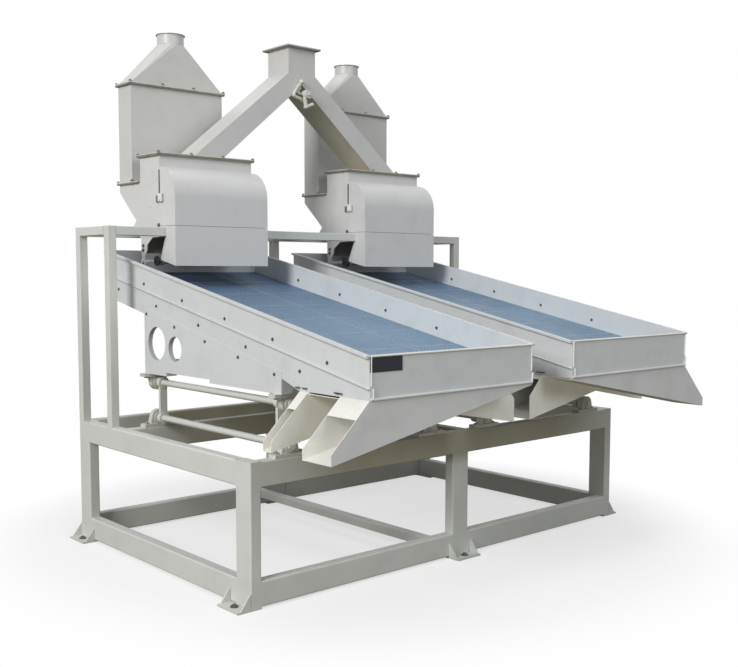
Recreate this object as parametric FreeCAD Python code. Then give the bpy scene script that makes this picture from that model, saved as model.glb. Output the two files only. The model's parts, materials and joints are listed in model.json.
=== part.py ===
import FreeCAD, Part
import math
import os

from FreeCAD import Vector

os.makedirs("parts", exist_ok=True)

# Driving dimensions in millimetres: X to the right, Y to the back, Z up.
# The origin is on the floor, at the middle of the base.

# Base frame of rectangular tube
base_side_gap = 175.0
base_depth = 1720.0
base_height = 680.0
tube_deep = 120.0
tube_wide = 60.0
tube_wall = 4.0
tube_corner = 8.0
foot_plate_thick = 10.0
foot_plate_reach = 72.0
foot_plate_length = 170.0
foot_gusset_height = 73.0
foot_gusset_reach = 56.0
foot_gusset_thick = 8.0
anchor_hole_r = 9.0
anchor_inset = 34.0
cross_beam_inset = 485.0
slim_rail_x = -195.0
slim_rail_size = 50.0
slim_rail_wall = 3.0

# Upper frame of square tube
post_size = 50.0
post_wall = 3.0
post_corner = 5.0
upper_frame_over_rim = 196.9
upper_frame_deep = 396.0

# Rockers and their pillow blocks
rocker_shaft_r = 17.5
rocker_inset = 59.0
rocker_arm_length = 196.0
rocker_arm_gap = 60.0
rocker_arm_wide = 42.0
rocker_arm_thick = 18.0
rocker_boss_r = 31.0
rocker_boss_length = 30.0
rocker_end_reach = 34.0
bearing_height = 49.0
bearing_length = 184.0
bearing_foot_wide = 54.0
bearing_foot_thick = 17.0
bearing_dome_r = 44.0
bearing_dome_wide = 34.0
bearing_shoulder = 8.0
bearing_ring_r = 30.0
bearing_ring_reach = 24.0
bearing_play = 0.05
bearing_bolt_spread = 137.0
bolt_head_across = 19.0
bolt_head_high = 8.0

# Decks
deck_gap = 310.0
deck_width = 1030.0
deck_overhang = 604.0
deck_back_inset = 30.0
deck_front_high = 187.5
deck_slope = 0.2
sheet = 3.0
upper_wall_drop = 137.0
lower_wall_drop = 266.0
level_bottom_lift = 12.0
steep_run = 120.0
screen_drop = 105.0
screen_thick = 4.0
lower_screen_drop = 195.0
screen_bar_deep = 22.0
screen_bar_wide = 20.0
screen_panels = 6
rim_reach = 18.0
rim_deep = 12.0
seam_reach = 9.0
seam_deep = 4.0
front_lip_high = 10.0
pan_drop = 252.0

# Wedge plates and the cross members between them
wedge_top_drop = 235.0
wedge_front_reach = 35.0
wedge_back_reach = 20.0
large_hole_inset = 130.0
large_hole_lift = 151.0
large_hole_r = 90.0
hole_spacing = 190.0
small_hole_lift = 132.0
small_hole_r = 66.0
pad_wide = 60.0
pad_thick = 18.0
pad_bar_wide = 60.0
rear_bar_long = 228.0
hole_collar_reach = 22.0
channel_high = 48.0

# Screws along the deck's sides: the number, the first one's distance from the front edge, the last
# one's from the back edge, and the depth under the rim
screw_across = 10.0
screw_high = 4.0
upper_screws = 6
upper_screws_front_inset = 279.0
upper_screws_back_inset = 428.0
lower_screws = 5
lower_screws_front_inset = 470.0
lower_screws_back_inset = 140.0
lower_screws_drop = 195.0
wedge_screws = 5
wedge_screws_front_inset = 55.0
wedge_screws_back_inset = 24.0
wedge_screws_drop = 261.0

# Chutes under the decks: how far a tip stands out, how far it hangs below the deck's level bottom,
# and the share of its slant that is closed
outer_tip_reach = 202.0
outer_tip_top_drop = 200.0
outer_tip_drop = 247.0
outer_lid_share = 0.36
inner_tip_reach = 95.0
inner_tip_top_drop = 101.0
inner_tip_drop = 219.0
inner_lid_share = 0.2
chute_far_drop = 10.0
front_chute_wide = 190.0
middle_chute_wide = 219.0
rear_chute_wide = 60.0

# Feeders
feeder_shift = 23.5
feeder_width = 622.0
feeder_front_reach = 97.0
cover_deep = 168.0
feeder_box_deep = 220.0
feeder_drop = 214.0
feeder_seam_lift = 8.0
cover_high = 334.0
feeder_head = 80.0
cover_seam_gap = 2.0
cover_back_gap = 0.5
cover_slot_wide = 3.0
cover_slot_long = 129.0
cover_slot_drop = 24.0
skirt_back_step = 13.0
skirt_back_lift = 35.0
flange_reach = 14.0
flange_thick = 4.0
rail_gap = 1.0
gate_shaft_r = 8.0
gate_lift = 122.0
gate_plate_high = 118.0
gate_shaft_out = 22.0
partition_lean = 35.0
latch_lift = 152.0
latch_high = 36.0
latch_long = 30.0
latch_edge = 3.0
latch_base_thick = 4.0
latch_finger_thick = 3.0
latch_finger_long = 52.0
latch_finger_high = 14.0
keeper_long = 22.0
bracket_top_long = 119.0
bracket_arm_high = 26.0
roller_set_back = 20.0
roller_lift = 28.0
roller_r = 17.0
roller_ring_r = 27.0
roller_ring_wide = 14.0
roller_shaft_r = 7.0
tie_bar_gap = 163.0
roller_end_gap = 6.0
tie_bar_r = 8.0

# Aspiration ducts
duct_front_inset = 10.0
duct_deep = 154.0
duct_set_down = 146.0
duct_high = 577.0
hood_high = 262.0
collar_r = 80.0
collar_high = 60.0
collar_lip_reach = 8.0
collar_lip_thick = 4.0
hood_folds = 4
flange_bolt_across = 13.0
flange_bolt_high = 7.0
flange_bolt_count = 4

# Distributor
inlet_half = 103.0
inlet_high = 163.0
fork_deep = 152.0
distributor_front_reach = 8.0
distributor_back_inset = 12.0
arm_foot_outer_reach = 66.5
arm_foot_inner_reach = 113.5
saddle_half = 90.0
saddle_lift = 401.0
inlet_hole_r = 5.0
inlet_flange_reach = 26.0
lever_lift = 29.0
lever_shaft_r = 9.0
lever_hub_r = 22.0
lever_stand_off = 64.0
lever_gap = 4.0
lever_angle = 34.0
lever_length = 88.0
lever_arm_r = 8.0
lever_grip_r = 9.0
lever_grip_length = 70.0
lever_knob_r = 19.0
lever_knob_length = 48.0
flap_length = 150.0

# Drive
bearer_wide = 50.0
bearer_deep = 80.0
riser_high = 80.0
crank_set_forward = 935.0
crank_span = 380.0
crank_r = 17.5
throw = 8.0
eccentric_r = 45.0
eccentric_wide = 36.0
eccentric_inset = 105.0
rod_pin_inset = 205.0
rod_pin_lift = 21.0
rod_pin_r = 14.0
rod_eye_play = 3.5
rod_ring = 13.0
rod_deep = 34.0
rod_thick = 26.0
bracket_side_gap = 2.0
bracket_ear_thick = 12.0
bracket_ear_r = 24.0
pulley_set_back = 80.0
pulley_r = 110.0
motor_pulley_r = 45.0
pulley_wide = 40.0
belt_wide = 17.0
belt_thick = 11.0
belt_body = 10.0
belt_seat = 0.6
belt_side_gap = 0.4
groove_floor_wide = 9.0
motor_lift = 266.0
motor_r = 82.0
motor_length = 250.0
motor_foot_high = 90.0
motor_shaft_r = 12.0
motor_gap = 6.0
motor_bell = 36.0
motor_rib_high = 10.0
motor_rib_thick = 4.0
motor_rib_count = 24
terminal_box_wide = 90.0
terminal_box_high = 34.0
stand_plate = 8.0
stand_wall = 6.0

# Sizes that follow from the ones above
# Across the machine: the base stands out beyond the decks, the feeders stand over them
deck_x = (deck_width + deck_gap) / 2
deck_left = -deck_x - deck_width / 2
deck_right = -deck_gap / 2
half_length = base_side_gap - deck_left
feeder_x = deck_x + feeder_shift
feeder_left = -feeder_x - feeder_width / 2
feeder_right = -feeder_x + feeder_width / 2
arm_foot_outer_x = feeder_x + arm_foot_outer_reach
arm_foot_inner_x = feeder_x - arm_foot_inner_reach
rod_pin_x = deck_gap / 2 + rod_pin_inset

# From the front to the back: the rockers stand on the front rail and on the cross-beam
half_depth = base_depth / 2
rocker_front_y = tube_wide / 2 - half_depth
cross_beam_y = half_depth - cross_beam_inset
wedge_front_y = rocker_front_y - wedge_front_reach
wedge_back_y = cross_beam_y + wedge_back_reach
deck_front_y = wedge_front_y - deck_overhang
deck_back_y = half_depth - deck_back_inset
steep_top_y = wedge_front_y - sheet
level_end_y = steep_top_y - steep_run
rear_bar_front_y = wedge_back_y - rear_bar_long
large_hole_y = wedge_back_y - large_hole_inset
small_hole_y = large_hole_y - hole_spacing
upper_front_y = half_depth - upper_frame_deep
back_rail_y = half_depth - post_size
feeder_front_y = upper_front_y - feeder_front_reach
feeder_box_front_y = feeder_front_y + cover_deep
feeder_box_back_y = feeder_box_front_y + feeder_box_deep
partition_foot_y = feeder_box_back_y - partition_lean
bracket_front_y = feeder_box_back_y - bracket_top_long
roller_y = feeder_box_front_y + roller_set_back
tie_bar_y = roller_y + tie_bar_gap
duct_front_y = half_depth - duct_front_inset
duct_back_y = duct_front_y + duct_deep
distributor_front_y = feeder_box_front_y - distributor_front_reach
distributor_back_y = feeder_box_back_y - distributor_back_inset
crank_front_y = cross_beam_y - crank_set_forward
crank_back_y = crank_front_y + crank_span
eccentric_front_y = crank_front_y + eccentric_inset
eccentric_back_y = crank_back_y - eccentric_inset
front_bar_back_y = eccentric_back_y + rod_thick / 2 + bracket_side_gap + bracket_ear_thick
pulley_y = crank_back_y + pulley_set_back

# Upwards: base, rockers, deck, then the upper frame over the deck's rim, the feeders and the ducts
rail_floor = foot_plate_thick
rail_bottom = base_height - tube_deep
rocker_low_z = base_height + bearing_height
rocker_high_z = rocker_low_z + rocker_arm_length
pad_bottom_z = rocker_high_z + bearing_height
wedge_bottom_z = pad_bottom_z + pad_thick
level_bottom_z = wedge_bottom_z + level_bottom_lift
deck_front_top = level_bottom_z + deck_front_high
large_hole_z = wedge_bottom_z + large_hole_lift
small_hole_z = wedge_bottom_z + small_hole_lift
chute_far_z = level_bottom_z - chute_far_drop
outer_tip_top_z = level_bottom_z - outer_tip_top_drop
outer_tip_z = level_bottom_z - outer_tip_drop
inner_tip_top_z = level_bottom_z - inner_tip_top_drop
inner_tip_z = level_bottom_z - inner_tip_drop
crank_z = base_height + riser_high + bearing_height
rod_pin_z = crank_z + rod_pin_lift
motor_z = crank_z + motor_lift
rim_over_upper_front = deck_front_top + deck_slope * (upper_front_y - deck_front_y)
upper_frame_top = rim_over_upper_front + upper_frame_over_rim
feeder_bottom_z = upper_frame_top - feeder_drop
feeder_seam_z = upper_frame_top + feeder_seam_lift
cover_top_z = feeder_seam_z + cover_high
feeder_top_z = cover_top_z + feeder_head
cover_slot_high_z = cover_top_z - cover_slot_drop
cover_slot_low_z = cover_slot_high_z - cover_slot_long
skirt_back_z = feeder_bottom_z + skirt_back_lift
gate_z = feeder_seam_z + gate_lift
latch_z = feeder_seam_z + latch_lift
roller_z = feeder_bottom_z + roller_lift
duct_bottom_z = feeder_top_z - duct_set_down
duct_top_z = duct_bottom_z + duct_high
collar_bottom_z = duct_top_z + hood_high
collar_top_z = collar_bottom_z + collar_high
saddle_z = feeder_top_z + saddle_lift
lever_z = saddle_z + lever_lift
inlet_bottom_z = saddle_z + fork_deep
inlet_top_z = inlet_bottom_z + inlet_high


def box(x0, x1, y0, y1, z0, z1):
    """A block between two corners."""
    return Part.makeBox(x1 - x0, y1 - y0, z1 - z0, Vector(x0, y0, z0))


def rod_y(x, z, radius, y0, y1):
    """A round bar along Y."""
    return Part.makeCylinder(radius, y1 - y0, Vector(x, y0, z), Vector(0, 1, 0))


def rod_x(y, z, radius, x0, x1):
    """A round bar along X."""
    return Part.makeCylinder(radius, x1 - x0, Vector(x0, y, z), Vector(1, 0, 0))


def rod_z(x, y, radius, z0, z1):
    """A round bar along Z."""
    return Part.makeCylinder(radius, z1 - z0, Vector(x, y, z0), Vector(0, 0, 1))


def plate_x(outline, x0, x1):
    """An outline of (y, z) points made thick along X."""
    points = [Vector(x0, y, z) for y, z in outline]
    face = Part.Face(Part.makePolygon(points + [points[0]]))
    return face.extrude(Vector(x1 - x0, 0, 0))


def plate_y(outline, y0, y1):
    """An outline of (x, z) points made thick along Y."""
    points = [Vector(x, y0, z) for x, z in outline]
    face = Part.Face(Part.makePolygon(points + [points[0]]))
    return face.extrude(Vector(0, y1 - y0, 0))


def mirrored(shape):
    """The same piece on the other side of the machine."""
    return shape.mirror(Vector(0, 0, 0), Vector(1, 0, 0))


def both_sides(pieces):
    """The pieces of the left side and their mirror images."""
    return pieces + [mirrored(piece) for piece in pieces]


def rounded(block, axis, radius):
    """The block with its four long edges rounded."""
    edges = []
    for edge in block.Edges:
        start, end = edge.Vertexes[0].Point, edge.Vertexes[-1].Point
        if abs((end - start).normalize().dot(axis)) > 0.99:
            edges.append(edge)
    return block.makeFillet(radius, edges)


def tube(axis_name, x0, x1, y0, y1, z0, z1, wall, corner, cap=0.0):
    """A rectangular tube that fills the block between two corners: open at both ends, or closed on top."""
    axis = {"x": Vector(1, 0, 0), "y": Vector(0, 1, 0), "z": Vector(0, 0, 1)}[axis_name]
    outside = rounded(box(x0, x1, y0, y1, z0, z1), axis, corner)
    inset = [0.0 if name == axis_name else wall for name in "xyz"]
    bore = box(
        x0 + inset[0], x1 - inset[0],
        y0 + inset[1], y1 - inset[1],
        z0 + inset[2], z1 - inset[2] - cap,
    )
    return outside.cut(bore)


def big_tube(axis_name, x0, x1, y0, y1, z0, z1, cap=0.0):
    """A tube of the base frame."""
    return tube(axis_name, x0, x1, y0, y1, z0, z1, tube_wall, tube_corner, cap)


def small_tube(axis_name, x0, x1, y0, y1, z0, z1, cap=0.0):
    """A tube of the upper frame."""
    return tube(axis_name, x0, x1, y0, y1, z0, z1, post_wall, post_corner, cap)


def hexagon(centre, direction, across, high):
    """A hexagon head that stands on a face at its centre."""
    side = across / math.sqrt(3)
    normal = Vector(direction)
    start = normal.cross(Vector(0, 0, 1))
    if start.Length < 0.5:
        start = Vector(1, 0, 0)
    start.normalize()
    other = normal.cross(start)
    points = []
    for step in range(6):
        angle = math.radians(60 * step)
        points.append(centre + start * (side * math.cos(angle)) + other * (side * math.sin(angle)))
    face = Part.Face(Part.makePolygon(points + [points[0]]))
    return face.extrude(normal * high)


def save(name, pieces):
    """One node, written as one file of separate solids."""
    shape = pieces[0] if len(pieces) == 1 else Part.makeCompound(pieces)
    shape.exportStep("parts/" + name + ".step")


# Base frame

def base_legs():
    """Four corner legs and two middle legs, closed on top, from the foot plates to the top of the frame."""
    legs = []
    for side in (-1, 1):
        x0 = side * half_length if side < 0 else half_length - tube_wide
        for end in (-1, 1):
            y0 = -half_depth if end < 0 else half_depth - tube_deep
            legs.append(big_tube("z", x0, x0 + tube_wide, y0, y0 + tube_deep,
                                 rail_floor, base_height, tube_wall))
    for end in (-1, 1):
        y0 = -half_depth if end < 0 else half_depth - tube_wide
        legs.append(big_tube("z", -tube_deep / 2, tube_deep / 2, y0, y0 + tube_wide,
                             rail_floor, base_height, tube_wall))
    return legs


def rails_at(z0, z1):
    """The rails between the legs at one level: two in front, two behind, one at each end."""
    rails = []
    for end in (-1, 1):
        y0 = -half_depth if end < 0 else half_depth - tube_wide
        left = big_tube("x", tube_wide - half_length, -tube_deep / 2, y0, y0 + tube_wide, z0, z1)
        rails += [left, mirrored(left)]
    end_rail = big_tube(
        "y", -half_length, tube_wide - half_length,
        tube_deep - half_depth, half_depth - tube_deep, z0, z1,
    )
    rails += [end_rail, mirrored(end_rail)]
    return rails


def cross_beam():
    """The beam along X that carries the rear pillow blocks, level with the top rails."""
    return big_tube(
        "x", tube_wide - half_length, half_length - tube_wide,
        cross_beam_y - tube_wide / 2, cross_beam_y + tube_wide / 2, rail_bottom, base_height,
    )


def slim_rail():
    """The slim rail from the front to the back at floor level."""
    return tube(
        "y", slim_rail_x - slim_rail_size / 2, slim_rail_x + slim_rail_size / 2,
        tube_wide - half_depth, half_depth - tube_wide,
        rail_floor + tube_deep - slim_rail_size, rail_floor + tube_deep, slim_rail_wall, post_corner,
    )


def corner_foot_plate(end):
    """The plate under a left corner leg, with its anchor hole outside the leg."""
    y0 = -half_depth if end < 0 else half_depth - foot_plate_length
    plate = box(
        -half_length - foot_plate_reach, tube_wide - half_length,
        y0, y0 + foot_plate_length, 0, foot_plate_thick,
    )
    hole = rod_z(-half_length - anchor_inset, y0 + foot_plate_length / 2, anchor_hole_r, 0, foot_plate_thick)
    return plate.cut(hole)


def middle_foot_plate(end):
    """The plate under a middle leg, with its anchor hole in front of or behind the leg."""
    outer = end * (half_depth + foot_plate_reach)
    inner = end * (half_depth - tube_wide)
    plate = box(
        -foot_plate_length / 2, foot_plate_length / 2,
        min(outer, inner), max(outer, inner), 0, foot_plate_thick,
    )
    return plate.cut(rod_z(0, end * (half_depth + anchor_inset), anchor_hole_r, 0, foot_plate_thick))


def foot_plates():
    plates = both_sides([corner_foot_plate(-1), corner_foot_plate(1)])
    return plates + [middle_foot_plate(-1), middle_foot_plate(1)]


def foot_gussets():
    """Two upright triangles on each foot plate."""
    low = foot_plate_thick
    high = foot_plate_thick + foot_gusset_height
    corner = []
    for end in (-1, 1):
        first = -half_depth if end < 0 else half_depth - foot_plate_length
        last = first + foot_plate_length - foot_gusset_thick
        outline = [(-half_length, low), (-half_length, high), (-half_length - foot_gusset_reach, low)]
        for y in (first, last):
            corner.append(plate_y(outline, y, y + foot_gusset_thick))
    gussets = both_sides(corner)
    for end in (-1, 1):
        face = end * half_depth
        outline = [(face, low), (face, high), (face + end * foot_gusset_reach, low)]
        side_piece = plate_x(outline, -foot_plate_length / 2, foot_gusset_thick - foot_plate_length / 2)
        gussets += [side_piece, mirrored(side_piece)]
    return gussets


# Upper frame

def upper_posts():
    """Four corner posts and one middle post at the back, closed on top."""
    top = upper_frame_top
    front = small_tube("z", -half_length, post_size - half_length, upper_front_y, upper_front_y + post_size,
                       base_height, top, post_wall)
    back = small_tube("z", -half_length, post_size - half_length, half_depth - post_size, half_depth,
                      base_height, top, post_wall)
    middle = small_tube("z", -post_size / 2, post_size / 2, half_depth - post_size, half_depth,
                        base_height, top, post_wall)
    return both_sides([front, back]) + [middle]


def upper_rails():
    """The top rails: one in front, two behind, one at each side and one over the middle."""
    low = upper_frame_top - post_size
    top = upper_frame_top
    front_face = upper_front_y + post_size
    back_face = half_depth - post_size
    front = small_tube("x", post_size - half_length, half_length - post_size,
                       upper_front_y, front_face, low, top)
    back = small_tube("x", post_size - half_length, -post_size / 2, back_face, half_depth, low, top)
    side = small_tube("y", -half_length, post_size - half_length, front_face, back_face, low, top)
    middle = small_tube("y", -post_size / 2, post_size / 2, front_face, back_face, low, top)
    return [front, middle] + both_sides([back, side])


# Pillow blocks and rockers

def pillow_block(x, y, face_z, up):
    """A pillow block on a level face: up is 1 on a rail and -1 under a deck."""
    half = bearing_length / 2
    axis_z = face_z + up * bearing_height
    foot_z = face_z + up * bearing_foot_thick
    foot = box(
        x - half, x + half, y - bearing_foot_wide / 2, y + bearing_foot_wide / 2,
        min(face_z, foot_z), max(face_z, foot_z),
    )
    dome_y0 = y - bearing_dome_wide / 2
    dome_y1 = y + bearing_dome_wide / 2
    dome = rod_y(x, axis_z, bearing_dome_r, dome_y0, dome_y1)
    shoulder = plate_y(
        [(x - bearing_dome_r, axis_z), (x + bearing_dome_r, axis_z),
         (x + bearing_dome_r + bearing_shoulder, foot_z), (x - bearing_dome_r - bearing_shoulder, foot_z)],
        dome_y0, dome_y1,
    )
    ring = rod_y(x, axis_z, bearing_ring_r, y - bearing_ring_reach, y + bearing_ring_reach)
    bore = rod_y(x, axis_z, rocker_shaft_r + bearing_play, y - bearing_foot_wide, y + bearing_foot_wide)
    return foot.fuse([dome, shoulder, ring]).cut(bore).removeSplitter()


def block_bolts(x, y, face_z, up):
    """The two bolts that hold a pillow block, standing on its foot."""
    seat = face_z + up * bearing_foot_thick
    heads = []
    for side in (-1, 1):
        centre = Vector(x + side * bearing_bolt_spread / 2, y, seat)
        heads.append(hexagon(centre, Vector(0, 0, up), bolt_head_across, bolt_head_high))
    return heads


def rocker_xs():
    """The outer and the inner rocker of the left deck."""
    return (deck_left + rocker_inset, deck_right - rocker_inset)


def rocker_ys():
    return (rocker_front_y, cross_beam_y)


def lower_blocks():
    left = [pillow_block(x, y, base_height, 1) for x in rocker_xs() for y in rocker_ys()]
    return both_sides(left)


def deck_blocks():
    return [pillow_block(x, y, pad_bottom_z, -1) for x in rocker_xs() for y in rocker_ys()]


def lower_block_bolts():
    left = []
    for x in rocker_xs():
        for y in rocker_ys():
            left += block_bolts(x, y, base_height, 1)
    return both_sides(left)


def deck_block_bolts():
    left = []
    for x in rocker_xs():
        for y in rocker_ys():
            left += block_bolts(x, y, pad_bottom_z, -1)
    return left


def rocker(x):
    """A lower and an upper shaft, held apart by two arms with clamping bosses."""
    y0 = rocker_front_y - rocker_end_reach
    y1 = cross_beam_y + rocker_end_reach
    low = rod_y(x, rocker_low_z, rocker_shaft_r, y0, y1)
    high = rod_y(x, rocker_high_z, rocker_shaft_r, y0, y1)
    arms = []
    for y in (rocker_front_y + rocker_arm_gap, cross_beam_y - rocker_arm_gap):
        bar = box(
            x - rocker_arm_wide / 2, x + rocker_arm_wide / 2,
            y - rocker_arm_thick / 2, y + rocker_arm_thick / 2, rocker_low_z, rocker_high_z,
        )
        bosses = [
            rod_y(x, z, rocker_boss_r, y - rocker_boss_length / 2, y + rocker_boss_length / 2)
            for z in (rocker_low_z, rocker_high_z)
        ]
        arms.append(bar.fuse(bosses).cut(low).cut(high))
    return [low, high] + arms


# Decks, made for the left side

def rim_z(y):
    """Height of the deck's rim at one place along it."""
    return deck_front_top + deck_slope * (y - deck_front_y)


def strip(y0, y1, drop0, drop1):
    """Outline of a strip that runs with the deck's slope, between two depths under the rim."""
    return [
        (y0, rim_z(y0) - drop0), (y1, rim_z(y1) - drop0),
        (y1, rim_z(y1) - drop1), (y0, rim_z(y0) - drop1),
    ]


def lower_side_outline(drop):
    """Side of the lower box, from a depth under the rim down to its bottom edge."""
    return [
        (deck_front_y, rim_z(deck_front_y) - drop),
        (deck_back_y, rim_z(deck_back_y) - drop),
        (deck_back_y, rim_z(deck_back_y) - lower_wall_drop),
        (steep_top_y, rim_z(steep_top_y) - lower_wall_drop),
        (level_end_y, level_bottom_z),
        (deck_front_y, level_bottom_z),
    ]


def upper_walls():
    """The two side walls of the screen box, each with its rolled rim."""
    outline = strip(deck_front_y, deck_back_y, 0, upper_wall_drop)
    rim = strip(deck_front_y, deck_back_y, 0, rim_deep)
    left = plate_x(outline, deck_left, deck_left + sheet)
    left_rim = plate_x(rim, deck_left - rim_reach, deck_left)
    right = plate_x(outline, deck_right - sheet, deck_right)
    right_rim = plate_x(rim, deck_right, deck_right + rim_reach)
    return [left.fuse(left_rim).removeSplitter(), right.fuse(right_rim).removeSplitter()]


def lower_walls():
    """The two side walls of the lower box, each with the seam flange that the screen box sits on."""
    seam = strip(deck_front_y, deck_back_y, upper_wall_drop, upper_wall_drop + seam_deep)
    outline = lower_side_outline(upper_wall_drop)
    left = plate_x(outline, deck_left, deck_left + sheet)
    left_seam = plate_x(seam, deck_left - seam_reach, deck_left)
    right = plate_x(outline, deck_right - sheet, deck_right)
    right_seam = plate_x(seam, deck_right, deck_right + seam_reach)
    return [left.fuse(left_seam).removeSplitter(), right.fuse(right_seam).removeSplitter()]


def back_wall():
    """The wall across the back, as deep as both boxes."""
    top = rim_z(deck_back_y)
    return box(deck_left + sheet, deck_right - sheet, deck_back_y - sheet, deck_back_y,
               top - lower_wall_drop, top)


def front_wall():
    """The wall across the front with a folded top edge and a rolled lip along its foot."""
    x0 = deck_left + sheet
    x1 = deck_right - sheet
    y0 = deck_front_y
    wall = box(x0, x1, y0, y0 + sheet, level_bottom_z, deck_front_top)
    fold = box(x0, x1, y0 + sheet, y0 + sheet + rim_reach, deck_front_top - sheet, deck_front_top)
    lip = rod_x(y0 - front_lip_high / 2, level_bottom_z + front_lip_high / 2, front_lip_high / 2, x0, x1)
    web = box(x0, x1, y0 - front_lip_high / 2, y0, level_bottom_z, level_bottom_z + front_lip_high)
    return wall.fuse([fold, lip, web]).removeSplitter()


def overs_y():
    """Where the front chute ends and the middle chute begins."""
    return deck_front_y + front_chute_wide


def middle_y():
    """Where the middle chute ends and the rear chute begins."""
    return overs_y() + middle_chute_wide


def fines_y():
    """Where the rear chute ends and the pan begins."""
    return middle_y() + rear_chute_wide


def screen_rows():
    """Depth and front edge of the upper and of the lower screen."""
    return ((screen_drop, overs_y()), (lower_screen_drop, middle_y()))


def screens():
    """The two sloping screens, each in separate panels."""
    panels = []
    back = deck_back_y - sheet
    for drop, front in screen_rows():
        step = (back - front) / screen_panels
        for number in range(screen_panels):
            start = front + number * step
            outline = strip(start, start + step, drop, drop + screen_thick)
            panels.append(plate_x(outline, deck_left + sheet, deck_right - sheet))
    return panels


def screen_frames():
    """The bars under both screens: one under each joint and two long side bars."""
    bars = []
    back = deck_back_y - sheet
    x0 = deck_left + sheet
    x1 = deck_right - sheet
    half = screen_bar_wide / 2
    for drop, front in screen_rows():
        step = (back - front) / screen_panels
        top = drop + screen_thick
        low = top + screen_bar_deep
        side = strip(front, back, top, low)
        bars.append(plate_x(side, x0, x0 + screen_bar_wide))
        bars.append(plate_x(side, x1 - screen_bar_wide, x1))
        for number in range(screen_panels + 1):
            centre = min(max(front + number * step, front + half), back - half)
            outline = strip(centre - half, centre + half, top, low)
            bars.append(plate_x(outline, x0 + screen_bar_wide, x1 - screen_bar_wide))
    return bars


def fines_pan():
    """The sloping pan, its apron, and the two guards that keep the three streams apart."""
    x0 = deck_left + sheet
    x1 = deck_right - sheet
    floor_line = strip(fines_y(), deck_back_y - sheet, pan_drop, pan_drop + sheet)
    apron_top = rim_z(fines_y()) - pan_drop - sheet
    pieces = [
        plate_x(floor_line, x0, x1),
        box(x0, x1, fines_y(), fines_y() + sheet, level_bottom_z, apron_top),
    ]
    for drop, front in screen_rows():
        top = rim_z(front) - drop - screen_thick - screen_bar_deep
        pieces.append(box(x0, x1, front, front + sheet, level_bottom_z, top))
    return pieces


def wedge_outline():
    return [
        (wedge_front_y, wedge_bottom_z),
        (wedge_back_y, wedge_bottom_z),
        (wedge_back_y, rim_z(wedge_back_y) - wedge_top_drop),
        (wedge_front_y, rim_z(wedge_front_y) - wedge_top_drop),
    ]


def wedge_plates():
    """The plates that carry the deck: level below, sloping above, with two round holes."""
    plates = [
        plate_x(wedge_outline(), deck_left - sheet, deck_left),
        plate_x(wedge_outline(), deck_right, deck_right + sheet),
    ]
    holes = ((large_hole_y, large_hole_z, large_hole_r), (small_hole_y, small_hole_z, small_hole_r))
    for y, z, radius in holes:
        bore = rod_x(y, z, radius, deck_left - 2 * sheet, deck_right + 2 * sheet)
        plates = [plate.cut(bore) for plate in plates]
    collars = []
    for y, z, radius in holes:
        for x0 in (deck_left, deck_right - hole_collar_reach):
            outside = rod_x(y, z, radius + sheet, x0, x0 + hole_collar_reach)
            collars.append(outside.cut(rod_x(y, z, radius, x0, x0 + hole_collar_reach)))
    return plates + collars


def bearing_pads():
    """The flat bars under both wedge plates and the pads across, that the pillow blocks bolt to."""
    low = pad_bottom_z
    top = wedge_bottom_z
    x0 = deck_left + pad_bar_wide
    x1 = deck_right - pad_bar_wide
    pads = []
    for y0, y1 in ((wedge_front_y, front_bar_back_y), (rear_bar_front_y, wedge_back_y)):
        pads.append(box(deck_left - sheet, x0, y0, y1, low, top))
        pads.append(box(x1, deck_right + sheet, y0, y1, low, top))
    for y in rocker_ys():
        y0 = max(y - pad_wide / 2, wedge_front_y)
        y1 = min(y + pad_wide / 2, wedge_back_y)
        pads.append(box(x0, x1, y0, y1, low, top))
    return pads


def cross_members():
    """The plates across the deck between the two wedge plates: full height in front, low behind."""
    front_top = rim_z(wedge_front_y) - lower_wall_drop
    front = box(deck_left, deck_right, wedge_front_y, wedge_front_y + sheet, wedge_bottom_z, front_top)
    back = box(deck_left, deck_right, wedge_back_y - sheet, wedge_back_y,
               wedge_bottom_z, wedge_bottom_z + channel_high)
    return [front, back]


def chute(y0, y1, root_x, tip_x, far_x, tip_top_z, tip_z, lid_share):
    """A chute across the deck: two upright sheets, a sloping floor and a lid over the root."""
    outline = [(root_x, level_bottom_z), (tip_x, tip_top_z), (tip_x, tip_z),
               (far_x, chute_far_z), (far_x, level_bottom_z)]
    floor_line = [(tip_x, tip_z), (far_x, chute_far_z), (far_x, chute_far_z + sheet), (tip_x, tip_z + sheet)]
    lid_x = root_x + lid_share * (tip_x - root_x)
    lid_z = level_bottom_z + lid_share * (tip_top_z - level_bottom_z)
    inward = math.copysign(sheet * math.sqrt(2), far_x - root_x)
    lid_line = [(root_x, level_bottom_z), (lid_x, lid_z),
                (lid_x + inward, lid_z), (root_x + inward, level_bottom_z)]
    return [
        plate_y(outline, y0, y0 + sheet),
        plate_y(outline, y1 - sheet, y1),
        plate_y(floor_line, y0 + sheet, y1 - sheet),
        plate_y(lid_line, y0 + sheet, y1 - sheet),
    ]


def outward_chute(y0, y1):
    """A chute that lets out at the outer side of the deck."""
    return chute(y0, y1, deck_left, deck_left - outer_tip_reach, deck_right,
                 outer_tip_top_z, outer_tip_z, outer_lid_share)


def front_chute():
    """It takes what stays on the upper screen."""
    return outward_chute(deck_front_y, overs_y())


def middle_chute():
    """It takes what stays on the lower screen and lets out between the decks."""
    return chute(overs_y(), middle_y(), deck_right, deck_right + inner_tip_reach, deck_left,
                 inner_tip_top_z, inner_tip_z, inner_lid_share)


def rear_chute():
    """It takes what falls through both screens."""
    return outward_chute(middle_y(), fines_y())


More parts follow.
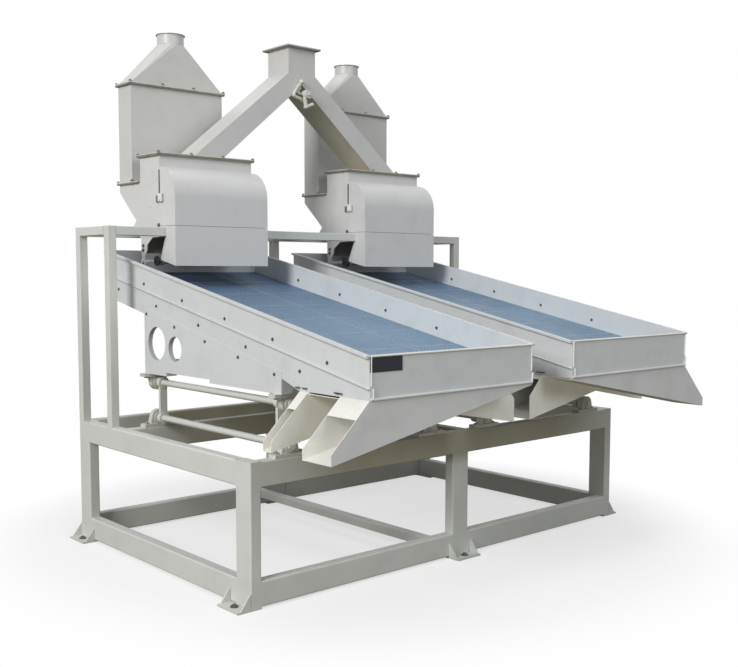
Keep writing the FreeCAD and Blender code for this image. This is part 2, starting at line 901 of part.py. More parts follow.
def screw_row(count, first, last, drop, stand_off=0.0):
    """One row of screws along both sides of the deck."""
    screws = []
    for number in range(count):
        y = first + (last - first) * number / max(count - 1, 1)
        z = rim_z(y) - drop
        left = Vector(deck_left - stand_off, y, z)
        right = Vector(deck_right + stand_off, y, z)
        screws.append(hexagon(left, Vector(-1, 0, 0), screw_across, screw_high))
        screws.append(hexagon(right, Vector(1, 0, 0), screw_across, screw_high))
    return screws


def deck_screws():
    upper = screw_row(upper_screws, deck_front_y + upper_screws_front_inset,
                      deck_back_y - upper_screws_back_inset, screen_drop)
    lower = screw_row(lower_screws, deck_front_y + lower_screws_front_inset,
                      deck_back_y - lower_screws_back_inset, lower_screws_drop)
    wedge = screw_row(wedge_screws, wedge_front_y + wedge_screws_front_inset,
                      wedge_back_y - wedge_screws_back_inset, wedge_screws_drop, sheet)
    return upper + lower + wedge


# Feeders, made for the left side

def rect_flange(x0, x1, y0, y1, z0, z1, reach):
    """Four flat bars round the outside of a rectangular duct."""
    return [
        box(x0 - reach, x1 + reach, y0 - reach, y0, z0, z1),
        box(x0 - reach, x1 + reach, y1, y1 + reach, z0, z1),
        box(x0 - reach, x0, y0, y1, z0, z1),
        box(x1, x1 + reach, y0, y1, z0, z1),
    ]


def feeder_side_outline():
    """Side of the feed box: it straddles the front rail and stands on the back rail."""
    low = upper_frame_top - post_size - rail_gap
    over_rail = upper_frame_top
    rail_back = upper_front_y + post_size + rail_gap
    duct_floor = duct_bottom_z - flange_thick
    return [
        (feeder_box_front_y, feeder_top_z - flange_thick),
        (feeder_box_front_y, over_rail),
        (rail_back, over_rail),
        (rail_back, low),
        (back_rail_y - post_size, low),
        (back_rail_y - rail_gap, over_rail),
        (half_depth - rail_gap, over_rail),
        (back_rail_y, over_rail + post_size),
        (duct_back_y, duct_floor - post_size),
        (duct_back_y, duct_floor),
        (feeder_box_back_y, duct_floor),
        (feeder_box_back_y, feeder_top_z - flange_thick),
    ]


def feeder_box():
    """The feed box of sheet: two sides, front strip, back, roof, sloping floors and partition."""
    x0 = feeder_left + sheet
    x1 = feeder_right - sheet
    top = feeder_top_z - flange_thick
    duct_floor = duct_bottom_z - flange_thick
    outline = feeder_side_outline()
    sides = [plate_x(outline, feeder_left, x0), plate_x(outline, x1, feeder_right)]
    strip_front = box(x0, x1, feeder_box_front_y, feeder_box_front_y + sheet, cover_top_z, top)
    back = box(x0, x1, feeder_box_back_y - sheet, feeder_box_back_y, duct_floor, top)
    roof = box(x0, x1, feeder_box_back_y, duct_front_y, duct_floor - sheet, duct_floor)
    bend_z = upper_frame_top + post_size
    slope = plate_x([
        (back_rail_y, bend_z), (duct_back_y, duct_floor - post_size),
        (duct_back_y, duct_floor), (duct_back_y - sheet, duct_floor),
        (duct_back_y - sheet, duct_floor - post_size + sheet / 2),
        (back_rail_y - sheet, bend_z + sheet / 2),
    ], x0, x1)
    foot = plate_x([
        (back_rail_y - sheet, bend_z),
        (half_depth - rail_gap - 2 * sheet, upper_frame_top),
        (half_depth - rail_gap, upper_frame_top),
        (back_rail_y, bend_z),
    ], x0, x1)
    low = upper_frame_top - post_size - rail_gap
    partition = plate_x([
        (feeder_box_back_y - sheet, duct_floor - sheet), (feeder_box_back_y, duct_floor - sheet),
        (partition_foot_y + sheet, low), (partition_foot_y, low),
    ], x0, x1)
    return sides + [strip_front, back, roof, slope, foot, partition]


def feeder_flange():
    """The lid of the feed box, with the hole under the distributor's arm and a bolting edge."""
    reach = flange_reach
    z0 = feeder_top_z - flange_thick
    lid = box(feeder_left - reach, feeder_right + reach,
              feeder_box_front_y - reach, feeder_box_back_y + reach, z0, feeder_top_z)
    hole = box(-arm_foot_outer_x + sheet, -arm_foot_inner_x - sheet,
               distributor_front_y + 2 * sheet, distributor_back_y - sheet, z0, feeder_top_z)
    return lid.cut(hole)


def cover_outline(inset):
    """Profile of the curved cover: upright in front, then a quarter round up to its top edge."""
    front = feeder_front_y + inset
    top = cover_top_z - inset
    back = feeder_box_front_y - cover_back_gap
    bottom = feeder_seam_z + cover_seam_gap
    radius = back - front
    start = top - radius
    middle = math.sqrt(0.5)
    arc = Part.Arc(
        Vector(0, front, start),
        Vector(0, back - radius * middle, start + radius * middle),
        Vector(0, back, top),
    ).toShape()
    return front, back, bottom, start, top, arc


def curved_skin():
    """The cover's bent sheet, one wall thick."""
    front, back, bottom, start, top, outer_arc = cover_outline(0)
    front_in, back_in, bottom_in, start_in, top_in, inner_arc = cover_outline(sheet)
    edges = [
        Part.makeLine(Vector(0, front, bottom), Vector(0, front, start)),
        outer_arc,
        Part.makeLine(Vector(0, back, top), Vector(0, back_in, top_in)),
        inner_arc,
        Part.makeLine(Vector(0, front_in, start_in), Vector(0, front_in, bottom_in)),
        Part.makeLine(Vector(0, front_in, bottom_in), Vector(0, front, bottom)),
    ]
    face = Part.Face(Part.Wire(Part.__sortEdges__(edges)))
    face.translate(Vector(feeder_left, 0, 0))
    return face.extrude(Vector(feeder_width, 0, 0))


def cover_cheek(x0):
    """One side of the cover, inside the bent sheet."""
    front, back, bottom, start, top, arc = cover_outline(sheet)
    edges = [
        Part.makeLine(Vector(0, front, bottom), Vector(0, front, start)),
        arc,
        Part.makeLine(Vector(0, back, top), Vector(0, back, bottom)),
        Part.makeLine(Vector(0, back, bottom), Vector(0, front, bottom)),
    ]
    face = Part.Face(Part.Wire(Part.__sortEdges__(edges)))
    face.translate(Vector(x0, 0, 0))
    slot = box(x0, x0 + sheet, back - cover_slot_wide, back, cover_slot_low_z, cover_slot_high_z)
    return face.extrude(Vector(sheet, 0, 0)).cut(slot)


def curved_cover():
    return [curved_skin(), cover_cheek(feeder_left), cover_cheek(feeder_right - sheet)] + latches()


def skirt():
    """The fixed lower front of the feeder, cut to clear the front rail."""
    front = feeder_front_y
    rail_front = upper_front_y
    low_rail = upper_frame_top - post_size - rail_gap
    outline = [
        (front + sheet, feeder_bottom_z),
        (front + sheet, feeder_seam_z),
        (feeder_box_front_y, feeder_seam_z),
        (feeder_box_front_y, upper_frame_top),
        (rail_front, upper_frame_top),
        (rail_front, low_rail),
        (rail_front + skirt_back_step, low_rail),
        (feeder_box_front_y, skirt_back_z),
    ]
    left = plate_x(outline, feeder_left, feeder_left + sheet)
    right = plate_x(outline, feeder_right - sheet, feeder_right)
    face = box(feeder_left, feeder_right, front, front + sheet, feeder_bottom_z, feeder_seam_z)
    return [left, right, face]


def latch(side):
    """A toggle latch on one cheek of the cover: its base and the finger that crosses the seam."""
    x = feeder_left if side < 0 else feeder_right
    y1 = feeder_box_front_y - cover_back_gap - latch_edge
    y0 = y1 - latch_long
    z0 = latch_z - latch_high / 2
    base_x = sorted((x, x + side * latch_base_thick))
    finger_x = sorted((x + side * latch_base_thick, x + side * (latch_base_thick + latch_finger_thick)))
    base = box(base_x[0], base_x[1], y0, y1, z0, z0 + latch_high)
    finger = box(finger_x[0], finger_x[1], y0, y0 + latch_finger_long,
                 latch_z - latch_finger_high / 2, latch_z + latch_finger_high / 2)
    return [base, finger]


def latches():
    return latch(-1) + latch(1)


def latch_keepers():
    """The plates on the feed box that the latch fingers lie against."""
    y0 = feeder_box_front_y + latch_edge
    z0 = latch_z - latch_high / 2
    left = box(feeder_left - latch_base_thick, feeder_left, y0, y0 + keeper_long, z0, z0 + latch_high)
    right = box(feeder_right, feeder_right + latch_base_thick, y0, y0 + keeper_long, z0, z0 + latch_high)
    return [left, right]


def feed_gate():
    """The flap inside the feed box that meters the rice, fixed to its own shaft."""
    y = (feeder_box_front_y + feeder_box_back_y) / 2
    shaft = rod_x(y, gate_z, gate_shaft_r, feeder_left - gate_shaft_out, feeder_right + gate_shaft_out)
    plate = box(feeder_left + 2 * sheet, feeder_right - 2 * sheet, y - sheet / 2, y + sheet / 2,
                gate_z - gate_plate_high, gate_z)
    return shaft.fuse(plate).removeSplitter()


def gate_holes(side_plate):
    """The holes for the gate's shaft in the sides of the feed box."""
    y = (feeder_box_front_y + feeder_box_back_y) / 2
    hole = rod_x(y, gate_z, gate_shaft_r + bearing_play, feeder_left - sheet, feeder_right + sheet)
    return side_plate.cut(hole)


def roller_bracket(x0):
    """The plate that hangs from one side of the feed box and holds the roller and the tie bar."""
    low = upper_frame_top - post_size - rail_gap
    half = bracket_arm_high / 2
    outline = [
        (bracket_front_y, low), (feeder_box_back_y, low),
        (tie_bar_y + half, roller_z + 2 * half),
        (tie_bar_y + half, roller_z - half),
        (roller_y, roller_z - half),
        (roller_y, roller_z + half),
        (tie_bar_y - half, roller_z + half),
    ]
    eye = rod_x(roller_y, roller_z, half, x0, x0 + sheet)
    plate = plate_x(outline, x0, x0 + sheet).fuse(eye).removeSplitter()
    return plate.cut(rod_x(roller_y, roller_z, roller_shaft_r + bearing_play, x0, x0 + sheet))


def roller_brackets():
    """The two bracket plates and the fixed tie bar between them."""
    x0 = feeder_left + sheet
    x1 = feeder_right - sheet
    tie = rod_x(tie_bar_y, roller_z, tie_bar_r, x0, x1)
    return [roller_bracket(feeder_left), roller_bracket(x1), tie]


def spreader_roller():
    """The roller across the feeder, with a rubber ring at each end."""
    x0 = feeder_left + sheet + roller_end_gap
    x1 = feeder_right - sheet - roller_end_gap
    shaft = rod_x(roller_y, roller_z, roller_shaft_r,
                  feeder_left - roller_end_gap, feeder_right + roller_end_gap)
    drum = rod_x(roller_y, roller_z, roller_r, x0, x1)
    roller = shaft.fuse(drum).removeSplitter()
    rings = []
    for x in (x0, x1 - roller_ring_wide):
        ring = rod_x(roller_y, roller_z, roller_ring_r, x, x + roller_ring_wide)
        rings.append(ring.cut(rod_x(roller_y, roller_z, roller_r, x, x + roller_ring_wide)))
    return [roller] + rings


# Aspiration ducts

def duct_box():
    """The upright duct of four plates with a flange at each end."""
    low = rect_flange(feeder_left, feeder_right, duct_front_y, duct_back_y,
                      duct_bottom_z, duct_bottom_z + flange_thick, flange_reach)
    high = rect_flange(feeder_left, feeder_right, duct_front_y, duct_back_y,
                       duct_top_z - flange_thick, duct_top_z, flange_reach)
    inner_left = feeder_left + sheet
    inner_right = feeder_right - sheet
    plates = [
        box(feeder_left, inner_left, duct_front_y, duct_back_y, duct_bottom_z, duct_top_z),
        box(inner_right, feeder_right, duct_front_y, duct_back_y, duct_bottom_z, duct_top_z),
        box(inner_left, inner_right, duct_front_y, duct_front_y + sheet, duct_bottom_z, duct_top_z),
        box(inner_left, inner_right, duct_back_y - sheet, duct_back_y, duct_bottom_z, duct_top_z),
    ]
    return plates + low + high


def seat_frame():
    """The flange of the feed box that the duct stands on."""
    z1 = duct_bottom_z
    outer = box(feeder_left - flange_reach, feeder_right + flange_reach,
                feeder_box_back_y, duct_back_y + flange_reach, z1 - flange_thick, z1)
    hole = box(feeder_left + sheet, feeder_right - sheet, duct_front_y + sheet, duct_back_y - sheet,
               z1 - flange_thick, z1)
    return outer.cut(hole)


def hood_solid(wall):
    """A rectangle below turning into a circle above, with flat faces and folded corners."""
    x0 = feeder_left + wall
    x1 = feeder_right - wall
    y0 = duct_front_y + wall
    y1 = duct_back_y - wall
    centre_x = -feeder_x
    centre_y = (duct_front_y + duct_back_y) / 2
    radius = collar_r - wall
    corners = [Vector(x1, y1, duct_top_z), Vector(x0, y1, duct_top_z),
               Vector(x0, y0, duct_top_z), Vector(x1, y0, duct_top_z)]
    count = 4 * hood_folds
    ring = []
    for number in range(count):
        angle = 2 * math.pi * number / count
        ring.append(Vector(centre_x + radius * math.cos(angle), centre_y + radius * math.sin(angle),
                           collar_bottom_z))
    faces = []
    for quarter in range(4):
        corner = corners[quarter]
        following = corners[(quarter + 1) % 4]
        first = quarter * hood_folds
        for number in range(hood_folds):
            low = ring[first + number]
            high = ring[(first + number + 1) % count]
            faces.append(Part.Face(Part.makePolygon([corner, high, low, corner])))
        apex = ring[(first + hood_folds) % count]
        faces.append(Part.Face(Part.makePolygon([corner, following, apex, corner])))
    faces.append(Part.Face(Part.makePolygon(corners + [corners[0]])))
    faces.append(Part.Face(Part.makePolygon(ring + [ring[0]])))
    return Part.makeSolid(Part.makeShell(faces))


def hood():
    """The sheet hood between the duct and its round collar, in four panels with a bolting edge."""
    outside = hood_solid(0)
    shell = outside.cut(hood_solid(sheet))
    x = -feeder_x
    y = (duct_front_y + duct_back_y) / 2
    corners = [(feeder_left, duct_front_y), (feeder_right, duct_front_y),
               (feeder_right, duct_back_y), (feeder_left, duct_back_y)]
    panels = []
    for number in range(4):
        points = [(x, y)]
        for corner in (corners[number], corners[(number + 1) % 4]):
            points.append((x + 2 * (corner[0] - x), y + 2 * (corner[1] - y)))
        outline = [Vector(px, py, duct_top_z) for px, py in points + points[:1]]
        wedge = Part.Face(Part.makePolygon(outline)).extrude(Vector(0, 0, collar_bottom_z - duct_top_z))
        panels += shell.common(wedge).Solids
    rim = rect_flange(feeder_left, feeder_right, duct_front_y, duct_back_y,
                      duct_top_z, duct_top_z + flange_thick, flange_reach)
    return panels + [bar.cut(outside) for bar in rim]


def collar():
    """The round collar for the air hose, with a turned lip."""
    x = -feeder_x
    y = (duct_front_y + duct_back_y) / 2
    outside = rod_z(x, y, collar_r, collar_bottom_z, collar_top_z)
    lip = rod_z(x, y, collar_r + collar_lip_reach, collar_top_z - collar_lip_thick, collar_top_z)
    bore = rod_z(x, y, collar_r - sheet, collar_bottom_z, collar_top_z)
    return outside.fuse(lip).cut(bore).removeSplitter()


def bolt_row(y, z, up):
    """A row of bolt heads along one edge of a flange."""
    heads = []
    half = flange_reach / 2
    for number in range(flange_bolt_count):
        x = feeder_left - half + (feeder_width + flange_reach) * number / (flange_bolt_count - 1)
        heads.append(hexagon(Vector(x, y, z), Vector(0, 0, up), flange_bolt_across, flange_bolt_high))
    return heads


def flange_bolts():
    """The bolts of the left feeder's lid, from below, and of its duct's flanges, from above."""
    half = flange_reach / 2
    lid_z = feeder_top_z - flange_thick
    bolts = bolt_row(feeder_box_front_y - half, lid_z, -1) + bolt_row(feeder_box_back_y + half, lid_z, -1)
    for z in (duct_bottom_z + flange_thick, duct_top_z + flange_thick):
        bolts += bolt_row(duct_front_y - half, z, 1) + bolt_row(duct_back_y + half, z, 1)
    return bolts


# Distributor

def distributor_box():
    """The inlet and its two arms: front and back sheets with strips between them."""
    edge = inlet_half
    top = inlet_top_z
    left_edge = [
        (-arm_foot_inner_x, feeder_top_z), (-arm_foot_outer_x, feeder_top_z),
        (-edge, inlet_bottom_z), (-edge, top),
    ]
    left_edge.insert(0, (-saddle_half, saddle_z))
    outline = left_edge + [(-x, z) for x, z in reversed(left_edge)]
    y0 = distributor_front_y
    y1 = distributor_back_y
    front = plate_y(outline, y0, y0 + sheet)
    back = plate_y(outline, y1 - sheet, y1)
    shaft_hole = rod_y(0, lever_z, lever_shaft_r + bearing_play, y0 - sheet, y1 + sheet)
    front = front.cut(shaft_hole)
    back = back.cut(shaft_hole)
    lean = (inlet_bottom_z - feeder_top_z) / (arm_foot_outer_x - edge)
    step = sheet * math.sqrt(1 + lean * lean)
    roof = plate_y([(-edge, inlet_bottom_z), (-arm_foot_outer_x, feeder_top_z),
                    (-arm_foot_outer_x + step / lean, feeder_top_z), (-edge, inlet_bottom_z - step)],
                   y0 + sheet, y1 - sheet)
    under_lean = (saddle_z - feeder_top_z) / (arm_foot_inner_x - saddle_half)
    under_step = sheet * math.sqrt(1 + under_lean * under_lean)
    under = plate_y([(-saddle_half, saddle_z), (-arm_foot_inner_x, feeder_top_z),
                     (-arm_foot_inner_x - under_step / under_lean, feeder_top_z),
                     (-saddle_half, saddle_z + under_step)], y0 + sheet, y1 - sheet)
    saddle = box(-saddle_half, saddle_half, y0 + sheet, y1 - sheet, saddle_z, saddle_z + sheet)
    wall = plate_y([(-edge, inlet_bottom_z), (-edge, top),
                    (-edge + sheet, top), (-edge + sheet, inlet_bottom_z)],
                   y0 + sheet, y1 - sheet)
    return [front, back, saddle] + both_sides([roof, under, wall])


def inlet_flange():
    """The bolting flange round the inlet."""
    reach = inlet_flange_reach
    z0 = inlet_top_z
    z1 = inlet_top_z + 2 * sheet
    plate = box(-inlet_half - reach, inlet_half + reach,
                distributor_front_y - reach, distributor_back_y + reach, z0, z1)
    hole = box(-inlet_half + sheet, inlet_half - sheet,
               distributor_front_y + sheet, distributor_back_y - sheet, z0, z1)
    plate = plate.cut(hole)
    centre_y = (distributor_front_y + distributor_back_y) / 2
    for side_x in (-1, 1):
        for side_y in (-1, 1):
            x = side_x * (inlet_half + reach / 2)
            y = centre_y + side_y * (distributor_back_y - centre_y + reach / 2)
            plate = plate.cut(rod_z(x, y, inlet_hole_r, z0, z1))
    return plate


def diverter_flap():
    """The flap inside the inlet and the shaft that turns it."""
    y0 = distributor_front_y
    y1 = distributor_back_y
    shaft = rod_y(0, lever_z, lever_shaft_r, y0 - lever_stand_off, y1 + lever_shaft_r)
    blade = box(-sheet / 2, sheet / 2, y0 + 2 * sheet, y1 - 2 * sheet, lever_z, lever_z + flap_length)
    return shaft.fuse(blade).removeSplitter()


def lever_bar(length, radius, angle, y):
    """A round bar from the shaft's axis outwards, at an angle from straight down."""
    turn = math.radians(angle)
    along = Vector(math.sin(turn), 0, -math.cos(turn))
    return Part.makeCylinder(radius, length, Vector(0, y, lever_z), along)


def lever_tip(length, angle, y):
    turn = math.radians(angle)
    return Vector(length * math.sin(turn), y, lever_z - length * math.cos(turn))


def diverter_lever():
    """The clamping hub on the flap's shaft, its handle with a cross grip, and the arm with the knob."""
    y1 = distributor_front_y - lever_gap
    y0 = distributor_front_y - lever_stand_off
    middle_y = (y0 + y1) / 2
    hub = rod_y(0, lever_z, lever_hub_r, y0, y1)
    handle = lever_bar(lever_length, lever_arm_r, lever_angle, middle_y)
    tip = lever_tip(lever_length, lever_angle, middle_y - lever_grip_length / 2)
    grip = Part.makeCylinder(lever_grip_r, lever_grip_length, tip, Vector(0, 1, 0))
    arm = lever_bar(lever_length, lever_arm_r, lever_angle + 180, middle_y)
    top = lever_tip(lever_length, lever_angle + 180, middle_y - lever_knob_length / 2)
    knob = Part.makeCylinder(lever_knob_r, lever_knob_length, top, Vector(0, 1, 0))
    bore = rod_y(0, lever_z, lever_shaft_r, y0 - sheet, y1 + sheet)
    return hub.fuse([handle, grip, arm, knob]).cut(bore).removeSplitter()


# Drive between the decks

def drive_bearers():
    """Two bearers between the front rail and the cross-beam, under the drive."""
    bearers = []
    for side in (-1, 1):
        x = side * bearing_bolt_spread / 2
        bearers.append(tube(
            "y", x - bearer_wide / 2, x + bearer_wide / 2,
            tube_wide - half_depth, cross_beam_y - tube_wide / 2,
            base_height - bearer_deep, base_height, post_wall, post_corner,
        ))
    return bearers


def crank_ys():
    return (crank_front_y, crank_back_y)


def crank_risers():
    """The two blocks that lift the eccentric shaft's bearings."""
    half = bearing_length / 2
    return [
        box(-half, half, y - bearing_foot_wide / 2, y + bearing_foot_wide / 2,
            base_height, base_height + riser_high)
        for y in crank_ys()
    ]


def crank_blocks():
    return [pillow_block(0, y, base_height + riser_high, 1) for y in crank_ys()]


def crank_block_bolts():
    heads = []
    for y in crank_ys():
        heads += block_bolts(0, y, base_height + riser_high, 1)
    return heads


def eccentric_shaft():
    """The shaft with two eccentrics set opposite: up for the left deck, down for the right."""
    shaft = rod_y(0, crank_z, crank_r, crank_front_y - rocker_end_reach, pulley_y + pulley_wide)
    discs = [
        rod_y(0, crank_z + throw, eccentric_r, eccentric_front_y - eccentric_wide / 2,
              eccentric_front_y + eccentric_wide / 2),
        rod_y(0, crank_z - throw, eccentric_r, eccentric_back_y - eccentric_wide / 2,
              eccentric_back_y + eccentric_wide / 2),
    ]
    return shaft.fuse(discs).removeSplitter()


def connecting_rod(side, y):
    """A rod from one eccentric to the drive pin of one deck, with an eye at each end."""
    lift = -side * throw
    big_z = crank_z + lift
    small_x = side * rod_pin_x
    small_z = rod_pin_z + lift
    y0 = y - rod_thick / 2
    y1 = y + rod_thick / 2
    eye_r = rod_pin_r + 2 * throw + rod_eye_play
    big = rod_y(0, big_z, eccentric_r + rod_ring, y0, y1)
    small = rod_y(small_x, small_z, eye_r + rod_ring, y0, y1)
    half = rod_deep / 2
    shank = plate_y([(0, big_z - half), (small_x, small_z - half),
                     (small_x, small_z + half), (0, big_z + half)],
                    y0, y1)
    rod = big.fuse([small, shank])
    rod = rod.cut(rod_y(0, big_z, eccentric_r + bearing_play, y0, y1))
    return rod.cut(rod_y(small_x, small_z, eye_r, y0, y1)).removeSplitter()


def drive_bracket(y):
    """The hanger under the left deck: a cross bar, two ears and the drive pin between them."""
    x = -rod_pin_x
    ear_gap = rod_thick / 2 + bracket_side_gap
    reach = ear_gap + bracket_ear_thick
    beam = box(deck_left + pad_bar_wide, deck_right - pad_bar_wide, y - reach, y + reach,
               pad_bottom_z, wedge_bottom_z)
    ears = []
    for side in (-1, 1):
        y0, y1 = sorted((y + side * ear_gap, y + side * reach))
        ear = plate_y([
            (x - 2 * bracket_ear_r, pad_bottom_z), (x + 2 * bracket_ear_r, pad_bottom_z),
            (x + bracket_ear_r, rod_pin_z), (x - bracket_ear_r, rod_pin_z),
        ], y0, y1)
        foot = rod_y(x, rod_pin_z, bracket_ear_r, y0, y1)
        hole = rod_y(x, rod_pin_z, rod_pin_r, y0, y1)
        ears.append(ear.fuse(foot).cut(hole).removeSplitter())
    pin = rod_y(x, rod_pin_z, rod_pin_r, y - reach, y + reach)
    return [beam] + ears + [pin]


def vee_pulley(z, radius, bore):
    """A pulley with one V groove, centred on the belt."""
    y0 = pulley_y
    y1 = y0 + pulley_wide
    middle = (y0 + y1) / 2
    out = radius + sheet
    flare = (belt_wide - groove_floor_wide) / 2 * (sheet + belt_thick) / belt_thick
    floor_r = radius - belt_thick
    half = groove_floor_wide / 2
    points = [
        Vector(out, middle - half - flare, 0), Vector(out, middle + half + flare, 0),
        Vector(floor_r, middle + half, 0), Vector(floor_r, middle - half, 0),
    ]
    groove = Part.Face(Part.makePolygon(points + points[:1])).revolve(Vector(0, 0, 0), Vector(0, 1, 0), 360)
    groove.translate(Vector(0, 0, z))
    return rod_y(0, z, radius, y0, y1).cut(groove).cut(rod_y(0, z, bore, y0, y1)).removeSplitter()


def large_pulley():
    return vee_pulley(crank_z, pulley_r, crank_r)


def small_pulley():
    return vee_pulley(motor_z, motor_pulley_r, motor_shaft_r)


def belt_loop(shrink):
    """The closed line round both pulleys: two arcs and two straight runs."""
    big = pulley_r - shrink
    small = motor_pulley_r - shrink
    lean = math.asin((big - small) / (motor_z - crank_z))
    right_low = Vector(big * math.cos(lean), 0, crank_z + big * math.sin(lean))
    right_high = Vector(small * math.cos(lean), 0, motor_z + small * math.sin(lean))
    left_low = Vector(-right_low.x, 0, right_low.z)
    left_high = Vector(-right_high.x, 0, right_high.z)
    return Part.Wire([
        Part.makeLine(right_low, right_high),
        Part.Arc(right_high, Vector(0, 0, motor_z + small), left_high).toShape(),
        Part.makeLine(left_high, left_low),
        Part.Arc(left_low, Vector(0, 0, crank_z - big), right_low).toShape(),
    ])


def belt():
    """The belt in the grooves of both pulleys, with its working clearance all round."""
    middle = pulley_y + pulley_wide / 2
    half = groove_floor_wide / 2 - belt_side_gap
    depth = belt_thick - belt_seat
    face = Part.Face([belt_loop(depth - belt_body), belt_loop(depth)])
    face.translate(Vector(0, middle - half, 0))
    return face.extrude(Vector(0, 2 * half, 0))


def motor_y0():
    return pulley_y + pulley_wide + motor_gap


def motor():
    """The motor: ribbed body between two end bells, a foot and a terminal box."""
    y0 = motor_y0()
    y1 = y0 + motor_length
    rib_y0 = y0 + motor_bell
    rib_y1 = y1 - motor_bell
    core = rod_y(0, motor_z, motor_r - motor_rib_high, y0, y1)
    bells = [
        rod_y(0, motor_z, motor_r, y0 + motor_bell / 2, rib_y0),
        rod_y(0, motor_z, motor_r, rib_y1, y1 - motor_bell / 2),
    ]
    ribs = []
    for number in range(motor_rib_count):
        rib = box(-motor_rib_thick / 2, motor_rib_thick / 2, rib_y0, rib_y1,
                  motor_z + motor_r / 2, motor_z + motor_r)
        rib.rotate(Vector(0, 0, motor_z), Vector(0, 1, 0), 360.0 * number / motor_rib_count)
        ribs.append(rib)
    foot_half = motor_r - motor_rib_high
    foot = box(-foot_half, foot_half, rib_y0, rib_y1, motor_z - motor_foot_high, motor_z - motor_r / 2)
    half = terminal_box_wide / 2
    terminal = box(-half, half, rib_y0, rib_y0 + terminal_box_wide,
                   motor_z + motor_r / 2, motor_z + motor_r + terminal_box_high)
    bore = rod_y(0, motor_z, motor_shaft_r + bearing_play, y0, rib_y0)
    return core.fuse(bells + ribs + [foot, terminal]).cut(bore).removeSplitter()


def motor_shaft():
    return rod_y(0, motor_z, motor_shaft_r, pulley_y, motor_y0() + motor_bell)


def motor_stand():
    """The plate under the motor and its four angle posts on the bearers."""
    y0 = motor_y0()
    y1 = y0 + motor_length
    top = motor_z - motor_foot_high
    x1 = bearing_bolt_spread / 2 + bearer_wide / 2
    plate = box(-x1, x1, y0, y1, top - stand_plate, top)
    posts = []
    for side in (-1, 1):
        for y in (y0, y1 - post_size):
            outer = side * x1
            web = box(min(outer, outer - side * stand_wall), max(outer, outer - side * stand_wall),
                      y, y + post_size, base_height, top - stand_plate)
            leg_y = y if y == y0 else y1 - stand_wall
            flange = box(min(outer, outer - side * post_size), max(outer, outer - side * post_size),
                         leg_y, leg_y + stand_wall, base_height, top - stand_plate)
            posts.append(web.fuse(flange).removeSplitter())
    return [plate] + posts


def save_deck(name, turn, drive_y):
    """All the nodes of one deck: turn makes the right-hand copies."""
    nodes = {
        "upper_side_walls": upper_walls(),
        "lower_side_walls": lower_walls(),
        "end_walls": [front_wall(), back_wall()],
        "screens": screens(),
        "screen_frames": screen_frames(),
        "fines_pan": fines_pan(),
        "subframe": wedge_plates() + bearing_pads() + cross_members() + drive_bracket(drive_y),
        "rear_chute": rear_chute(),
        "middle_chute": middle_chute(),
        "front_chute": front_chute(),
        "deck_bearings": deck_blocks(),
        "deck_fasteners": deck_screws() + deck_block_bolts(),
    }
    for node, pieces in nodes.items():
        save(name + "_" + node, [turn(piece) for piece in pieces])


def save_feeder(name, turn):
    """All the nodes of one feeder and its duct."""
    box_pieces = feeder_box()
    sides = [gate_holes(piece) for piece in box_pieces[:2]]
    fittings = [feeder_flange(), seat_frame()] + latch_keepers() + roller_brackets()
    nodes = {
        "feeder_box": sides + box_pieces[2:] + fittings,
        "feeder_cover": curved_cover(),
        "feeder_skirt": skirt(),
        "feed_gate": [feed_gate()],
        "spreader_roller": spreader_roller(),
        "duct": duct_box(),
        "duct_hood": hood(),
        "duct_collar": [collar()],
    }
    for node, pieces in nodes.items():
        save(name + "_" + node, [turn(piece) for piece in pieces])


def as_made(piece):
    return piece


save("base_legs", base_legs())
save("base_rails", rails_at(rail_bottom, base_height) + rails_at(rail_floor, rail_floor + tube_deep)
     + [cross_beam(), slim_rail()])
save("foot_plates", foot_plates() + foot_gussets())
save("upper_frame", upper_posts() + upper_rails())
save("lower_bearings", lower_blocks() + crank_blocks())
save("base_fasteners", lower_block_bolts() + crank_block_bolts())
save("drive_bearers", drive_bearers() + crank_risers() + motor_stand())

outer_x, inner_x = rocker_xs()
for side_name, turn in (("left", as_made), ("right", mirrored)):
    for place, x in (("outer", outer_x), ("inner", inner_x)):
        save(side_name + "_" + place + "_rocker", [turn(piece) for piece in rocker(x)])

save_deck("left", as_made, eccentric_front_y)
save_deck("right", mirrored, eccentric_back_y)
save_feeder("left", as_made)
save_feeder("right", mirrored)

save("distributor", distributor_box() + [inlet_flange()])
save("diverter", [diverter_flap(), diverter_lever()])
save("flange_bolts", both_sides(flange_bolts()))
save("eccentric_shaft", [eccentric_shaft(), large_pulley()])
save("left_connecting_rod", [connecting_rod(-1, eccentric_front_y)])
save("right_connecting_rod", [connecting_rod(1, eccentric_back_y)])
save("motor", [motor()])
save("motor_pulley", [motor_shaft(), small_pulley()])
save("belt", [belt()])
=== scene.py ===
import bmesh
import bpy
import json
import math
from mathutils import Matrix, Vector


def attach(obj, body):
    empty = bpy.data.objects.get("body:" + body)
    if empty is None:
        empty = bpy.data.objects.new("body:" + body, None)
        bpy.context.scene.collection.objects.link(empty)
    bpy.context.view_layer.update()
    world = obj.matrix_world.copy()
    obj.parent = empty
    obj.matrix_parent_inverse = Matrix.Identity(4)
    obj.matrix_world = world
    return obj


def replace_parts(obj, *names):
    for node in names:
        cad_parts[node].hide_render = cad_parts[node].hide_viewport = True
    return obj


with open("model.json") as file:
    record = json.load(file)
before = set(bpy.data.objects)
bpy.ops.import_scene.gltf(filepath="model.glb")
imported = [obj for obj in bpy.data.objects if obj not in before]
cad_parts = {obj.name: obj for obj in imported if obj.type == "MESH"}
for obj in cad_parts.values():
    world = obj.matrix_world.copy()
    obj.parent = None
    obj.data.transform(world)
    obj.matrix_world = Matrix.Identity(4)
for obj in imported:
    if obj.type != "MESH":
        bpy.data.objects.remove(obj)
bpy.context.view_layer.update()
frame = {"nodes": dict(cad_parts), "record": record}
nodes = frame["nodes"]
